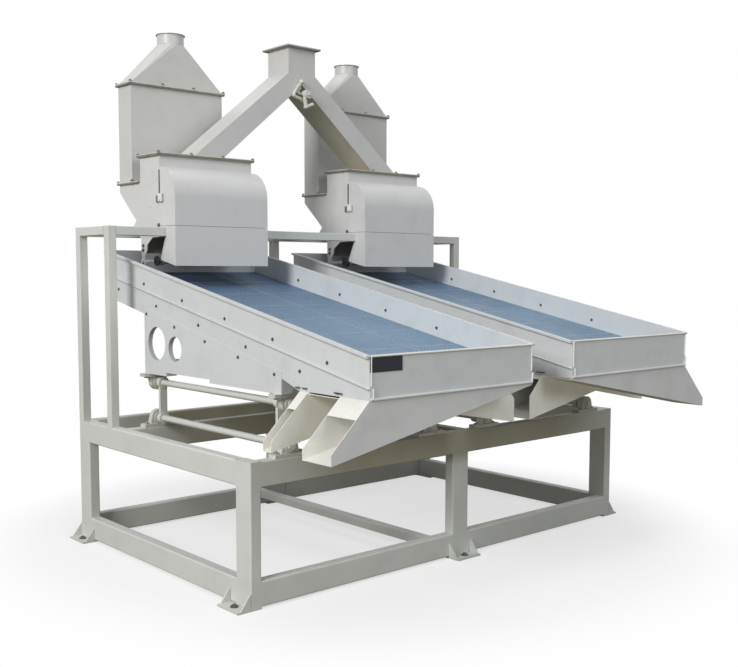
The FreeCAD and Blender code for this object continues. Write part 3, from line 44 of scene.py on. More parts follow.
print("frame loaded:", len(nodes), "nodes")

# camera at the photograph's place
cameraView = {
    "place": (-3.8562, -4.5180, 1.5399),
    "heading": 41.539,      # degrees from +Y towards +X
    "dip": 4.570,           # degrees below the horizon
    "roll": 0.106,
    "lens": 48.691,
    "sensor": 36.0,
    "shiftX": -0.00843,
    "shiftY": 0.02195,
}


def placeCamera(view):
    heading, dip, roll = (math.radians(view[key]) for key in ("heading", "dip", "roll"))
    forward = Vector((math.sin(heading) * math.cos(dip), math.cos(heading) * math.cos(dip), -math.sin(dip)))
    level = Vector((math.cos(heading), -math.sin(heading), 0.0))
    upright = level.cross(forward)
    right = level * math.cos(roll) + upright * math.sin(roll)
    top = upright * math.cos(roll) - level * math.sin(roll)
    lens = bpy.data.cameras.new("viewCamera")
    lens.sensor_fit = "HORIZONTAL"
    lens.sensor_width = view["sensor"]
    lens.lens = view["lens"]
    lens.shift_x = view["shiftX"]
    lens.shift_y = view["shiftY"]
    camera = bpy.data.objects.new("viewCamera", lens)
    bpy.context.scene.collection.objects.link(camera)
    turn = Matrix((right, top, -forward)).transposed().to_4x4()
    camera.matrix_world = Matrix.Translation(view["place"]) @ turn
    bpy.context.scene.camera = camera


placeCamera(cameraView)
bpy.context.scene.view_settings.view_transform = "Standard"
print("camera placed")


# helpers for materials
white = (1.0, 1.0, 1.0)


def newMaterial(name):
    material = bpy.data.materials.new(name)
    material.use_nodes = True
    tree = material.node_tree
    shader = tree.nodes["Principled BSDF"]
    return material, tree, shader


def addNode(tree, kind, **values):
    node = tree.nodes.new(kind)
    for key, value in values.items():
        setattr(node, key, value)
    return node


def noiseOn(tree, place, scale, detail, rough=0.5):
    noise = addNode(tree, "ShaderNodeTexNoise")
    noise.inputs["Scale"].default_value = scale
    noise.inputs["Detail"].default_value = detail
    noise.inputs["Roughness"].default_value = rough
    tree.links.new(place, noise.inputs["Vector"])
    return noise.outputs["Fac"]


def rampOn(tree, factor, low, high, start=0.3, end=0.7):
    ramp = addNode(tree, "ShaderNodeValToRGB")
    ramp.color_ramp.elements[0].position = start
    ramp.color_ramp.elements[1].position = end
    ramp.color_ramp.elements[0].color = (*low, 1.0)
    ramp.color_ramp.elements[1].color = (*high, 1.0)
    tree.links.new(factor, ramp.inputs["Fac"])
    return ramp.outputs["Color"]


def mixColours(tree, factor, first, second, how="MIX"):
    mix = addNode(tree, "ShaderNodeMix", data_type="RGBA", blend_type=how)
    for socket, value in (("Factor", factor), (6, first), (7, second)):      # 6 and 7 are the two colours
        if isinstance(value, float):
            mix.inputs[socket].default_value = value
        elif isinstance(value, tuple):
            mix.inputs[socket].default_value = (*value, 1.0)
        else:
            tree.links.new(value, mix.inputs[socket])
    return mix.outputs[2]


def mathOn(tree, operation, *values):
    node = addNode(tree, "ShaderNodeMath", operation=operation)
    for socket, value in zip(node.inputs, values):
        if isinstance(value, float):
            socket.default_value = value
        else:
            tree.links.new(value, socket)
    return node.outputs[0]


def spanOn(tree, value, start, end):
    span = addNode(tree, "ShaderNodeMapRange")
    span.inputs["From Min"].default_value = start
    span.inputs["From Max"].default_value = end
    tree.links.new(value, span.inputs["Value"])
    return span.outputs["Result"]


def axesOf(tree, vector):
    apart = addNode(tree, "ShaderNodeSeparateXYZ")
    tree.links.new(vector, apart.inputs[0])
    return apart.outputs


def bumpOn(tree, shader, height, strength, distance):
    bump = addNode(tree, "ShaderNodeBump")
    bump.inputs["Strength"].default_value = strength
    bump.inputs["Distance"].default_value = distance
    tree.links.new(height, bump.inputs["Height"])
    tree.links.new(bump.outputs["Normal"], shader.inputs["Normal"])


def blendShaders(tree, factor, first, second, output):
    blend = addNode(tree, "ShaderNodeMixShader")
    for socket, value in zip(blend.inputs, (factor, first, second)):
        tree.links.new(value, socket)
    tree.links.new(blend.outputs[0], tree.nodes[output].inputs["Surface"])


def shaded(colour, share):
    return tuple(channel * share for channel in colour)


def grey(level):
    return (level,) * 3


# what all the paints share, and all the bare metals
# under is a painted shade colour for faces that look down
paintWear = {"patchDetail": 4.0, "under": (0.80, 0.745, 0.60), "underShadeSpan": (0.3, 0.6), "floorSpan": (0.25, 0.45),
             "dustDetail": (6.0, 0.65), "dustSpan": (0.25, 0.5), "shine": (3, 3.0), "shineSpread": 0.06,
             "peelDetail": 2.0, "peelDepth": 0.0006}
metalWear = {"detail": (5.0, 0.7), "darkest": 0.7, "shine": (2, 3.0), "shineSpread": 0.08, "metallic": 0.9,
             "scratch": (6, 2.0), "scratchDepth": (0.08, 0.0003)}


def paint(name, look):
    material, tree, shader = newMaterial(name)
    coordinates = addNode(tree, "ShaderNodeTexCoord").outputs
    place = coordinates["Object"]
    axes = axesOf(tree, place)
    facing = axesOf(tree, coordinates["Normal"])["Z"]
    colour = rampOn(tree, noiseOn(tree, place, look["patch"], paintWear["patchDetail"]),
                    shaded(look["colour"], look["darkest"]), look["colour"])
    under = rampOn(tree, mathOn(tree, "MULTIPLY", facing, -1.0), white, paintWear["under"], *paintWear["underShadeSpan"])
    colour = mixColours(tree, 1.0, colour, under, "MULTIPLY")      # painted shade: faces that look down are darkened and browned, standing in for the shade and warm bounce under things
    if "floorLitColour" in look:      # painted light: paler on the walls behind the front and on the floors, standing in for light bouncing inside the chutes
        behind = spanOn(tree, axes["Y"], *look["behind"])
        colour = mixColours(tree, behind, colour, look["wallLitColour"])
        floors = spanOn(tree, facing, *paintWear["floorSpan"])
        colour = mixColours(tree, floors, colour, look["floorLitColour"])
    if "railShade" in look:      # painted shade: the rails under the decks are darkened and browned where the decks shade them
        railShadeMask = spanOn(tree, mathOn(tree, "ABSOLUTE", axes["X"]), *look["railShadeAcross"])
        for reach in look["railShadeUp"]:
            railShadeMask = mathOn(tree, "MULTIPLY", railShadeMask, spanOn(tree, axes["Z"], *reach))
        colour = mixColours(tree, railShadeMask, colour, look["railShade"], "MULTIPLY")
    dust = rampOn(tree, noiseOn(tree, place, look["dustScale"], *paintWear["dustDetail"]),
                  shaded(look["colour"], look["dustShare"]), white, *paintWear["dustSpan"])
    tree.links.new(mixColours(tree, look["dust"], colour, dust, "MULTIPLY"), shader.inputs["Base Color"])
    finer, detail = paintWear["shine"]
    rough = rampOn(tree, noiseOn(tree, place, look["patch"] * finer, detail),
                   grey(look["rough"] - paintWear["shineSpread"]), grey(look["rough"] + paintWear["shineSpread"]))
    tree.links.new(rough, shader.inputs["Roughness"])
    peel = noiseOn(tree, place, look["peelScale"], paintWear["peelDetail"])
    bumpOn(tree, shader, peel, look["peel"], paintWear["peelDepth"])
    return material


def metal(name, look):
    material, tree, shader = newMaterial(name)
    place = addNode(tree, "ShaderNodeTexCoord").outputs["Object"]
    colour = rampOn(tree, noiseOn(tree, place, look["grain"], *metalWear["detail"]),
                    shaded(look["colour"], metalWear["darkest"]), look["colour"])
    tree.links.new(colour, shader.inputs["Base Color"])
    finer, detail = metalWear["shine"]
    rough = rampOn(tree, noiseOn(tree, place, look["grain"] * finer, detail),
                   grey(look["rough"] - metalWear["shineSpread"]), grey(look["rough"] + metalWear["shineSpread"]))
    tree.links.new(rough, shader.inputs["Roughness"])
    shader.inputs["Metallic"].default_value = metalWear["metallic"]
    finer, detail = metalWear["scratch"]
    bumpOn(tree, shader, noiseOn(tree, place, look["grain"] * finer, detail), *metalWear["scratchDepth"])
    return material


def wovenSheet(name, look):
    material, tree, shader = newMaterial(name)
    place = addNode(tree, "ShaderNodeTexCoord").outputs["Object"]
    flat = addNode(tree, "ShaderNodeMapping")
    flat.inputs["Scale"].default_value = (1.0, 1.0, 0.0)      # the pattern lies on the sheet, seen from above
    tree.links.new(place, flat.inputs["Vector"])
    holes = addNode(tree, "ShaderNodeTexVoronoi")
    holes.inputs["Scale"].default_value = 1.0 / look["pitch"]
    holes.inputs["Randomness"].default_value = 0.0
    tree.links.new(flat.outputs["Vector"], holes.inputs["Vector"])
    wires = rampOn(tree, holes.outputs["Distance"], look["holeColour"], look["wireColour"], *look["wireSpan"])
    cloudy = rampOn(tree, noiseOn(tree, place, look["cloud"], *look["cloudDetail"]), grey(look["cloudShare"]), white)
    back = spanOn(tree, axesOf(tree, place)["Y"], look["shadeFrom"], look["shadeTo"])      # painted shade: darker towards the feeder, standing in for the feeder's shadow on the screens
    paintedShade = rampOn(tree, back, white, look["backShade"], 0.0, 1.0)
    worn = mixColours(tree, 1.0, wires, cloudy, "MULTIPLY")
    tree.links.new(mixColours(tree, 1.0, worn, paintedShade, "MULTIPLY"), shader.inputs["Base Color"])
    finer, detail = look["shine"]
    smooth, coarse = look["rough"]
    rough = rampOn(tree, noiseOn(tree, place, look["cloud"] * finer, detail), grey(smooth), grey(coarse))
    tree.links.new(rough, shader.inputs["Roughness"])
    shader.inputs["Metallic"].default_value = look["metallic"]
    bumpOn(tree, shader, holes.outputs["Distance"], *look["wireDepth"])
    return material


finishes = {
    # frame: the darkening of the rails under the decks is painted shade
    "frame": {"colour": (0.652, 0.665, 0.630), "darkest": 0.975, "patch": 1.6, "dust": 0.18, "dustScale": 5.0,
              "dustShare": 0.86, "rough": 0.46, "peel": 0.12, "peelScale": 420.0, "railShade": (0.62, 0.57, 0.48),
              "railShadeAcross": (1.22, 0.80), "railShadeUp": ((0.50, 0.56), (0.71, 0.685))},
    "deck": {"colour": (0.662, 0.680, 0.690), "darkest": 0.96, "patch": 1.2, "dust": 0.25, "dustScale": 6.0,
             "dustShare": 0.9, "rough": 0.42, "peel": 0.10, "peelScale": 460.0},
    "feeder": {"colour": (0.670, 0.665, 0.655), "darkest": 0.96, "patch": 1.0, "dust": 0.2, "dustScale": 7.0,
               "dustShare": 0.92, "rough": 0.40, "peel": 0.10, "peelScale": 480.0},
    # duct: the feeder's paint made darker, painted shade on the ducts, hoods, collars and distributor
    "duct": {"colour": (0.605, 0.600, 0.580), "darkest": 0.96, "patch": 1.0, "dust": 0.2, "dustScale": 7.0,
             "dustShare": 0.92, "rough": 0.42, "peel": 0.10, "peelScale": 480.0},
    # chute: the paler floor and back-wall colours are painted light from the bounce inside the chutes
    "chute": {"colour": (0.672, 0.680, 0.678), "darkest": 0.96, "patch": 1.2, "dust": 0.25, "dustScale": 6.0,
              "dustShare": 0.9, "rough": 0.42, "peel": 0.10, "peelScale": 460.0, "floorLitColour": (0.82, 0.80, 0.74),
              "wallLitColour": (0.97, 0.95, 0.87), "behind": (-1.31, -1.29)},
    "bearing": {"colour": (0.640, 0.635, 0.580), "darkest": 0.9, "patch": 14.0, "dust": 0.5, "dustScale": 40.0,
                "dustShare": 0.75, "rough": 0.5, "peel": 0.5, "peelScale": 260.0},
    "motor": {"colour": (0.11, 0.15, 0.17), "darkest": 0.85, "patch": 9.0, "dust": 0.4, "dustScale": 30.0,
              "dustShare": 0.8, "rough": 0.48, "peel": 0.3, "peelScale": 300.0},
    "rubber": {"colour": (0.025, 0.025, 0.026), "darkest": 0.8, "patch": 20.0, "dust": 0.3, "dustScale": 60.0,
               "dustShare": 0.8, "rough": 0.72, "peel": 0.3, "peelScale": 500.0},
    # a dark olive that is painted shade, for the shaded undersides of rims and flanges
    "edge": {"colour": (0.26, 0.235, 0.165), "darkest": 0.7, "patch": 12.0, "dust": 0.4, "dustScale": 40.0,
             "dustShare": 0.7, "rough": 0.55, "peel": 0.2, "peelScale": 300.0},
    # the dark brown here is painted shade, used on the partition under the feeder
    "paintedShade": {"colour": (0.34, 0.30, 0.225), "darkest": 0.8, "patch": 9.0, "dust": 0.4, "dustScale": 30.0,
             "dustShare": 0.8, "rough": 0.7, "peel": 0.2, "peelScale": 300.0},
    # bead: a paler cream; on the front beads it is painted highlight along the rolled edges
    "bead": {"colour": (0.80, 0.79, 0.75), "darkest": 0.96, "patch": 8.0, "dust": 0.2, "dustScale": 20.0,
             "dustShare": 0.9, "rough": 0.38, "peel": 0.1, "peelScale": 480.0},
    "plate": {"colour": (0.008, 0.008, 0.020), "darkest": 0.8, "patch": 20.0, "dust": 0.3, "dustScale": 60.0,
              "dustShare": 0.8, "rough": 0.55, "peel": 0.05, "peelScale": 500.0},
}
metals = {
    "zinc": {"colour": (0.38, 0.38, 0.36), "grain": 60.0, "rough": 0.42},
    "steel": {"colour": (0.48, 0.48, 0.47), "grain": 30.0, "rough": 0.34},
    "bars": {"colour": (0.55, 0.55, 0.53), "grain": 20.0, "rough": 0.45},
    "seam": {"colour": (0.44, 0.54, 0.62), "grain": 50.0, "rough": 0.55},
    "bolt": {"colour": (0.22, 0.21, 0.18), "grain": 60.0, "rough": 0.45},
}
# the screens' back shade is painted shade, darker towards the feeder
screenLook = {"pitch": 0.013, "holeColour": (0.028, 0.052, 0.105), "wireColour": (0.232, 0.358, 0.495),
              "wireSpan": (0.24, 0.36), "wireDepth": (0.35, 0.001), "cloud": 3.0, "cloudDetail": (6.0, 0.6),
              "cloudShare": 0.80, "shine": (4, 3.0), "rough": (0.42, 0.62), "metallic": 0.15,
              "backShade": (0.46, 0.54, 0.66), "shadeFrom": -0.45, "shadeTo": 0.50}

materials = {name: paint(name + "Paint", look) for name, look in finishes.items()}
materials.update({name: metal(name + "Metal", look) for name, look in metals.items()})
materials["screen"] = wovenSheet("screenSheet", screenLook)

slotFinish = {
    "frame_paint": "frame", "deck_paint": "deck", "feeder_paint": "feeder", "bearing_paint": "bearing",
    "screen_sheet": "screen", "screen_bars": "bars", "zinc": "zinc", "steel": "steel",
    "motor_paint": "motor", "belt_rubber": "rubber",
}
sides = (("left", -1), ("right", 1))
nodeFinish = {"distributor": "duct"}
for sideName, sideSign in sides:
    for piece in ("duct", "duct_hood", "duct_collar"):
        nodeFinish[sideName + "_" + piece] = "duct"
    for piece in ("front_chute", "middle_chute", "rear_chute"):
        nodeFinish[sideName + "_" + piece] = "chute"
for entry in frame["record"]["subparts"]:
    mesh = nodes[entry["node"]].data
    mesh.materials.clear()
    mesh.materials.append(materials[nodeFinish.get(entry["node"], slotFinish[entry["material_slot"]])])


# helpers for new pieces
def finishPiece(name, shape, material, body, right=()):
    kept = set(right)      # faces copied from a solid, which already point the right way
    bmesh.ops.recalc_face_normals(shape, faces=[face for face in shape.faces if face not in kept])
    mesh = bpy.data.meshes.new(name)
    shape.to_mesh(mesh)
    shape.free()
    mesh.materials.append(materials[material])
    piece = bpy.data.objects.new(name, mesh)
    bpy.context.scene.collection.objects.link(piece)
    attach(piece, body)
    return piece


def addBlock(shape, centre, size, tilt=0.0):
    turn = Matrix.Rotation(tilt, 4, "X")
    scale = Matrix.Diagonal((*size, 1.0))
    bmesh.ops.create_cube(shape, size=1.0, matrix=Matrix.Translation(centre) @ turn @ scale)


def addFrame(shape, xs, ys, zs, wall):
    xMiddle, yMiddle, z = sum(xs) / 2, sum(ys) / 2, sum(zs) / 2
    high = abs(zs[1] - zs[0])
    for y in (ys[0] + wall / 2, ys[1] - wall / 2):
        addBlock(shape, (xMiddle, y, z), (xs[1] - xs[0], wall, high))
    for x in (xs[0] + wall / 2, xs[1] - wall / 2):
        addBlock(shape, (x, yMiddle, z), (wall, ys[1] - ys[0] - wall * 2, high))


def addPlate(shape, outline, reach):
    face = shape.faces.new([shape.verts.new(point) for point in outline])
    grown = bmesh.ops.extrude_face_region(shape, geom=[face])["geom"]
    bmesh.ops.translate(shape, vec=reach, verts=[item for item in grown if isinstance(item, bmesh.types.BMVert)])


def addRod(shape, start, end, radius, endRadius=None, sides=16):
    start, end = Vector(start), Vector(end)
    turn = (end - start).to_track_quat("Z", "Y").to_matrix().to_4x4()
    bmesh.ops.create_cone(shape, cap_ends=True, segments=sides, radius1=radius,
                          radius2=radius if endRadius is None else endRadius, depth=(end - start).length,
                          matrix=Matrix.Translation((start + end) / 2) @ turn)


def addBall(shape, place, radius, around=16, up=10):
    bmesh.ops.create_uvsphere(shape, u_segments=around, v_segments=up, radius=radius,
                              matrix=Matrix.Translation(place))


headTaper = 0.94


def addBolt(shape, seat, way, look):
    seat, way = Vector(seat), Vector(way)
    washed = seat + way * look["washer"]
    addRod(shape, seat, washed, look["washerRadius"])
    addRod(shape, washed, washed + way * look["head"], look["radius"], look["radius"] * headTaper, sides=6)


def copyNode(name, near=0.00001):
    shape = bmesh.new()
    shape.from_mesh(nodes[name].data)
    bmesh.ops.remove_doubles(shape, verts=shape.verts, dist=near)
    return shape


# upper screens, which lie a little lower than the solids' ones, and their seams
deckRise = 0.2
deckSlope = math.atan(deckRise)
rim = {"front": -1.469, "back": 0.830, "height": 1.1915}
screenPlace = {"drop": 0.105, "lower": 0.022, "split": 0.150}
seamStrips = {"front": -1.279, "back": 0.827, "panels": 7, "width": 0.007, "thick": 0.0012, "dashes": 34, "dash": 0.017,
              "ends": (0.160, 1.180), "middle": (0.843, 0.497), "lengthwise": 0.005, "share": 0.6}


def rimTop(y):
    return rim["height"] + deckRise * (y - rim["front"])


def screenTop(y):
    return rimTop(y) - screenPlace["drop"] - screenPlace["lower"]


def lowerScreens(side):
    for node, finish, slotName in (("screens", "screen", "screen_sheet"), ("screen_frames", "bars", "screen_bars")):
        shape = copyNode(side + "_" + node)
        top = [vert for vert in shape.verts if vert.co.z > rimTop(vert.co.y) - screenPlace["split"]]
        bmesh.ops.translate(shape, vec=(0.0, 0.0, -screenPlace["lower"]), verts=top)
        lowered = finishPiece(side + "_" + node + "_set", shape, finish, side + "_deck", shape.faces[:])
        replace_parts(lowered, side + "_" + node)


def makeSeams(side, sign, look):
    shape = bmesh.new()
    low, high = sorted(sign * x for x in look["ends"])
    reach = look["back"] - look["front"]
    lift = look["thick"] / 2
    for number in range(1, look["panels"]):
        y = look["front"] + reach / look["panels"] * number
        for dash in range(look["dashes"]):
            x = low + (high - low) * (dash + 0.5) / look["dashes"]
            size = (look["dash"], look["width"], look["thick"])
            addBlock(shape, (x, y, screenTop(y) + lift), size, deckSlope)
    count = look["dashes"] * 2
    length = reach / count
    for x in look["middle"]:
        for dash in range(count):
            y = look["front"] + length * (dash + 0.5)
            size = (look["lengthwise"], length * look["share"], look["thick"])
            addBlock(shape, (sign * x, y, screenTop(y) + lift), size, deckSlope)
    finishPiece(side + "_screen_seams", shape, "seam", side + "_deck")


for sideName, sideSign in sides:
    lowerScreens(sideName)
    makeSeams(sideName, sideSign, seamStrips)
print("screen seams made")

# screws of the decks, with the rings round them
deckMiddle = 0.670
deckScrews = {
    "radius": 0.0062, "head": 0.0042, "washer": 0.0014, "washerRadius": 0.0088, "count": 5, "wall": 0.003,
    "rows": ({"first": -1.192, "step": 0.3975, "height": 1.1425, "out": 1.185, "tray": (-0.033, 0.016)},
             {"first": -0.999, "step": 0.42225, "height": 1.0905, "out": 1.185},
             {"first": -0.810, "step": 0.2953, "height": 1.0623, "out": 1.188}),
    "bearing": {"radius": 0.011, "head": 0.0068, "washer": 0.0012, "washerRadius": 0.0135,
                "x": (1.1945, 1.0575, 0.2825, 0.1455), "y": (-0.830, 0.375), "under": 0.957},
}


def makeDeckScrews(side, sign, look):
    shape = bmesh.new()
    for row in look["rows"]:
        for place in range(look["count"]):
            y = row["first"] + row["step"] * place
            z = row["height"] + deckRise * row["step"] * place
            for way in (-1, 1):
                face = sign * deckMiddle + way * (row["out"] - deckMiddle)
                addBolt(shape, (face, y, z), (way, 0, 0), look)
                if "tray" in row:      # the tray's own screws stand inside the wall
                    shift, lift = row["tray"]
                    addBolt(shape, (face - way * look["wall"], y + shift, z + lift), (-way, 0, 0), look)
    bearing = look["bearing"]
    for x in bearing["x"]:
        for y in bearing["y"]:
            addBolt(shape, (sign * x, y, bearing["under"]), (0, 0, -1), bearing)
    screws = finishPiece(side + "_deck_screws", shape, "bolt", side + "_deck")
    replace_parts(screws, side + "_deck_fasteners")


# trims on the decks: rim edges, dark strips that are painted shade under the rim lip and at the walls' seam, beads of
# the front wall, clips over the chutes
rimShadeLines = {"high": 0.0045, "shorter": 0.004, "out": 0.515, "rows": ((0.0052, 0.011), (0.1412, 0.0077))}
frontBeads = {"out": 0.508, "ahead": 0.0025, "under": 0.004, "radius": 0.0042, "drop": 0.125, "thinner": 0.8}
frontLip = {"ahead": 0.0047, "low": 1.0075, "radius": 0.0052, "turn": 0.046, "inset": 0.010, "lean": 0.008,
            "thinner": 0.8}
chuteClips = {"y": (-0.990, -1.041, -1.262, -1.285), "out": 0.5225, "z": 1.019, "size": (0.005, 0.030, 0.006)}


def makeRimShadeLines(side, sign, look):
    shape = bmesh.new()
    length = (rim["back"] - rim["front"]) / math.cos(deckSlope) - look["shorter"]
    y = (rim["back"] + rim["front"]) / 2
    for way in (-1, 1):
        for drop, width in look["rows"]:
            x = sign * deckMiddle + way * (look["out"] + width / 2)
            addBlock(shape, (x, y, rimTop(y) - drop), (width, length, look["high"]), deckSlope)
    finishPiece(side + "_rim_edges", shape, "edge", side + "_deck")


# the beads are the front wall's rolled edges; their paler paint is painted highlight along those edges
def makeFrontBeads(side, sign, bead, lip):
    shape = bmesh.new()
    left, right = (sign * deckMiddle + way * bead["out"] for way in (-1, 1))
    front = rim["front"] - bead["ahead"]
    top = rim["height"] - bead["under"]
    addRod(shape, (left, front, top), (right, front, top), bead["radius"])
    for x in (left, right):
        addRod(shape, (x, front, top - bead["drop"]), (x, front, top), bead["radius"] * bead["thinner"])
    low, high = lip["low"], lip["low"] + lip["turn"]
    front = rim["front"] - lip["ahead"]
    left += lip["inset"]
    for x, lean in ((left, 0.0), (right, lip["lean"])):
        addRod(shape, (x, front, low), (x + lean, front, high), lip["radius"] * lip["thinner"])
    addRod(shape, (left, front, low), (right, front, low), lip["radius"])
    finishPiece(side + "_front_beads", shape, "bead", side + "_deck")


def makeChuteClips(side, sign, look):
    shape = bmesh.new()
    for y in look["y"]:
        for way in (-1, 1):
            addBlock(shape, (sign * deckMiddle + way * look["out"], y, look["z"]), look["size"])
    finishPiece(side + "_chute_clips", shape, "bolt", side + "_deck")


for sideName, sideSign in sides:
    makeDeckScrews(sideName, sideSign, deckScrews)
    makeRimShadeLines(sideName, sideSign, rimShadeLines)
    makeFrontBeads(sideName, sideSign, frontBeads, frontLip)
    makeChuteClips(sideName, sideSign, chuteClips)
print("deck screws and trims made")

# bare plate on the left deck's front
barePlate = {"centre": (-1.0945, -1.4698, 1.1535), "wide": 0.183, "high": 0.066, "thick": 0.002, "bevel": 0.3,
             "pin": 0.0028, "pinHigh": 0.0008, "pinAcross": 0.46, "pinUp": 0.40}


def makeBarePlate(look):
    shape = bmesh.new()
    x, y, z = look["centre"]
    addBlock(shape, (x, y - look["thick"] / 2, z), (look["wide"], look["thick"], look["high"]))
    bmesh.ops.bevel(shape, geom=shape.edges[:], offset=look["thick"] * look["bevel"], offset_type="OFFSET",
                    segments=1, profile=0.5, affect="EDGES", material=-1)
    front = y - look["thick"]
    for across in (-look["pinAcross"], look["pinAcross"]):
        for up in (-look["pinUp"], look["pinUp"]):
            pinX, pinZ = x + across * look["wide"], z + up * look["high"]
            addRod(shape, (pinX, front, pinZ), (pinX, front - look["pinHigh"], pinZ), look["pin"])
    finishPiece("bare_plate", shape, "plate", "left_deck")


# anchors of the feet
anchors = {"radius": 0.0125, "head": 0.010, "washer": 0.003, "washerRadius": 0.020, "seat": 0.010,
           "places": ((-1.394, -0.775), (-1.394, 0.775), (1.394, -0.775), (1.394, 0.775), (0.0, -0.894), (0.0, 0.894))}


def makeAnchors(look):
    shape = bmesh.new()
    for x, y in look["places"]:
        addBolt(shape, (x, y, look["seat"]), (0, 0, 1), look)
    finishPiece("anchors", shape, "bolt", "root")


# welds ground flush where the base's rails meet its legs
welds = {"outer": (1.360, 0.860), "inner": (1.300, 0.740), "middle": 0.060, "wide": 0.010, "deep": 0.010,
         "lap": 0.001, "proud": 0.00012, "heights": ((0.010, 0.130), (0.560, 0.680))}


def makeWelds(look):
    shape = bmesh.new()
    outerX, outerY = (reach + look["proud"] - look["deep"] / 2 for reach in look["outer"])
    innerX, innerY = (reach + look["wide"] / 2 - look["lap"] for reach in look["inner"])
    middleX = look["middle"] - look["wide"] / 2 + look["lap"]
    for low, high in look["heights"]:
        z, tall = (low + high) / 2, high - low
        for signX in (-1, 1):
            for signY in (-1, 1):
                addBlock(shape, (signX * outerX, signY * innerY, z), (look["deep"], look["wide"], tall))
                for x in (innerX, middleX):
                    addBlock(shape, (signX * x, signY * outerY, z), (look["wide"], look["deep"], tall))
    finishPiece("corner_welds", shape, "frame", "root")


makeBarePlate(barePlate)
makeAnchors(anchors)
makeWelds(welds)
print("plate, anchors and welds made")

# bolts of the flanges on feeders, ducts and inlet, and dark strips under the flanges, which are painted shade for their
# shaded undersides
flangeBolts = {"radius": 0.0082, "head": 0.0075, "washer": 0.002, "washerRadius": 0.0105}
rearBolts = {"radius": 0.0062, "head": 0.007, "washer": 0.0015, "washerRadius": 0.0068}
flangeLook = {
    "ends": (-1.0185, -0.3685), "across": (-1.0115, -0.7995, -0.5875, -0.3755), "rearFrom": 1.0,
    "inset": 0.0006, "wall": 0.003, "inlet": ((-0.1284, 0.1284), (0.5016, 0.7684), (2.907, 2.913)),
    "flanges": ({"y": (0.521, 0.769), "under": 2.193, "over": 2.197, "rows": (0.528, 0.762), "edge": 0.012},
                {"y": (0.836, 1.018), "under": 2.624, "over": 2.632, "rows": (0.843, 1.011), "edge": 0.009},
                {"y": (0.770, 1.018), "under": 2.047, "over": 2.055, "rows": (0.843, 1.011), "edge": 0.008}),
}


def makeFlangeTrims(look):
    bolts, edges = bmesh.new(), bmesh.new()
    inset = look["inset"]
    for sign in (-1, 1):
        for flange in look["flanges"]:
            for y in flange["rows"]:
                bolt = rearBolts if y > look["rearFrom"] else flangeBolts
                for x in look["across"]:
                    addBolt(bolts, (sign * x, y, flange["over"]), (0, 0, 1), bolt)
                    addBolt(bolts, (sign * x, y, flange["under"]), (0, 0, -1), bolt)
            left, right = sorted(sign * x for x in look["ends"])
            front, back = flange["y"]
            # dark strip under each flange: painted shade
            addFrame(edges, (left + inset, right - inset), (front + inset, back - inset),
                     (flange["under"] - flange["edge"], flange["under"]), look["wall"])
    addFrame(edges, *look["inlet"], look["wall"])
    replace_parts(finishPiece("flange_bolt_sets", bolts, "bolt", "root"), "flange_bolts")
    finishPiece("flange_edges", edges, "edge", "root")


makeFlangeTrims(flangeLook)
print("flange bolts and edges made")

# fittings on the feeders
feederSide = {"outer": 1.0045, "inner": 0.3825}      # the two side faces of a feeder, from the machine's middle
# the dark strips set in the covers' slots are painted shade of the gaps, given a rubber finish
coverGapShade = {"span": (0.5315, 0.5405, 1.967, 2.100), "thick": 0.002}
coverLatch = {"span": (0.490, 0.530, 1.921, 1.966), "off": 0.007, "thick": 0.0085, "pin": (0.510, 1.931),
              "pinEnd": 0.021, "pinRadius": 0.006}
latchKeeper = {"span": (0.5375, 0.560, 1.917, 1.955), "off": 0.004, "thick": 0.006}
feederBolts = {"radius": 0.0085, "head": 0.006, "washer": 0.0015, "washerRadius": 0.0115,
               "places": ((0.547, 1.791), (0.513, 1.765), (0.729, 1.677), (0.732, 1.651))}
rollerRing = {"place": (0.555, 1.589), "radius": 0.029, "reach": (0.0062, 0.0152), "hub": 0.009,
              "hubReach": (0.015, 0.020)}
# the partition's dark brown is painted shade: it stands in the shade behind the skirt, under the feeder
partitionFoot = {"ends": (1.0012, 0.3858), "y": 0.7135, "z": 1.680, "thick": 0.003, "high": 0.092}


def feederFaces(sign):
    return ((sign * feederSide["outer"], sign), (sign * feederSide["inner"], -sign))


def addSideBlock(shape, x, way, span, thick):
    y0, y1, z0, z1 = span
    addBlock(shape, (x + way * thick / 2, (y0 + y1) / 2, (z0 + z1) / 2), (thick, y1 - y0, z1 - z0))


def addSideRod(shape, x, way, reach, place, radius, **more):
    start, end = ((x + way * distance, *place) for distance in reach)
    addRod(shape, start, end, radius, **more)


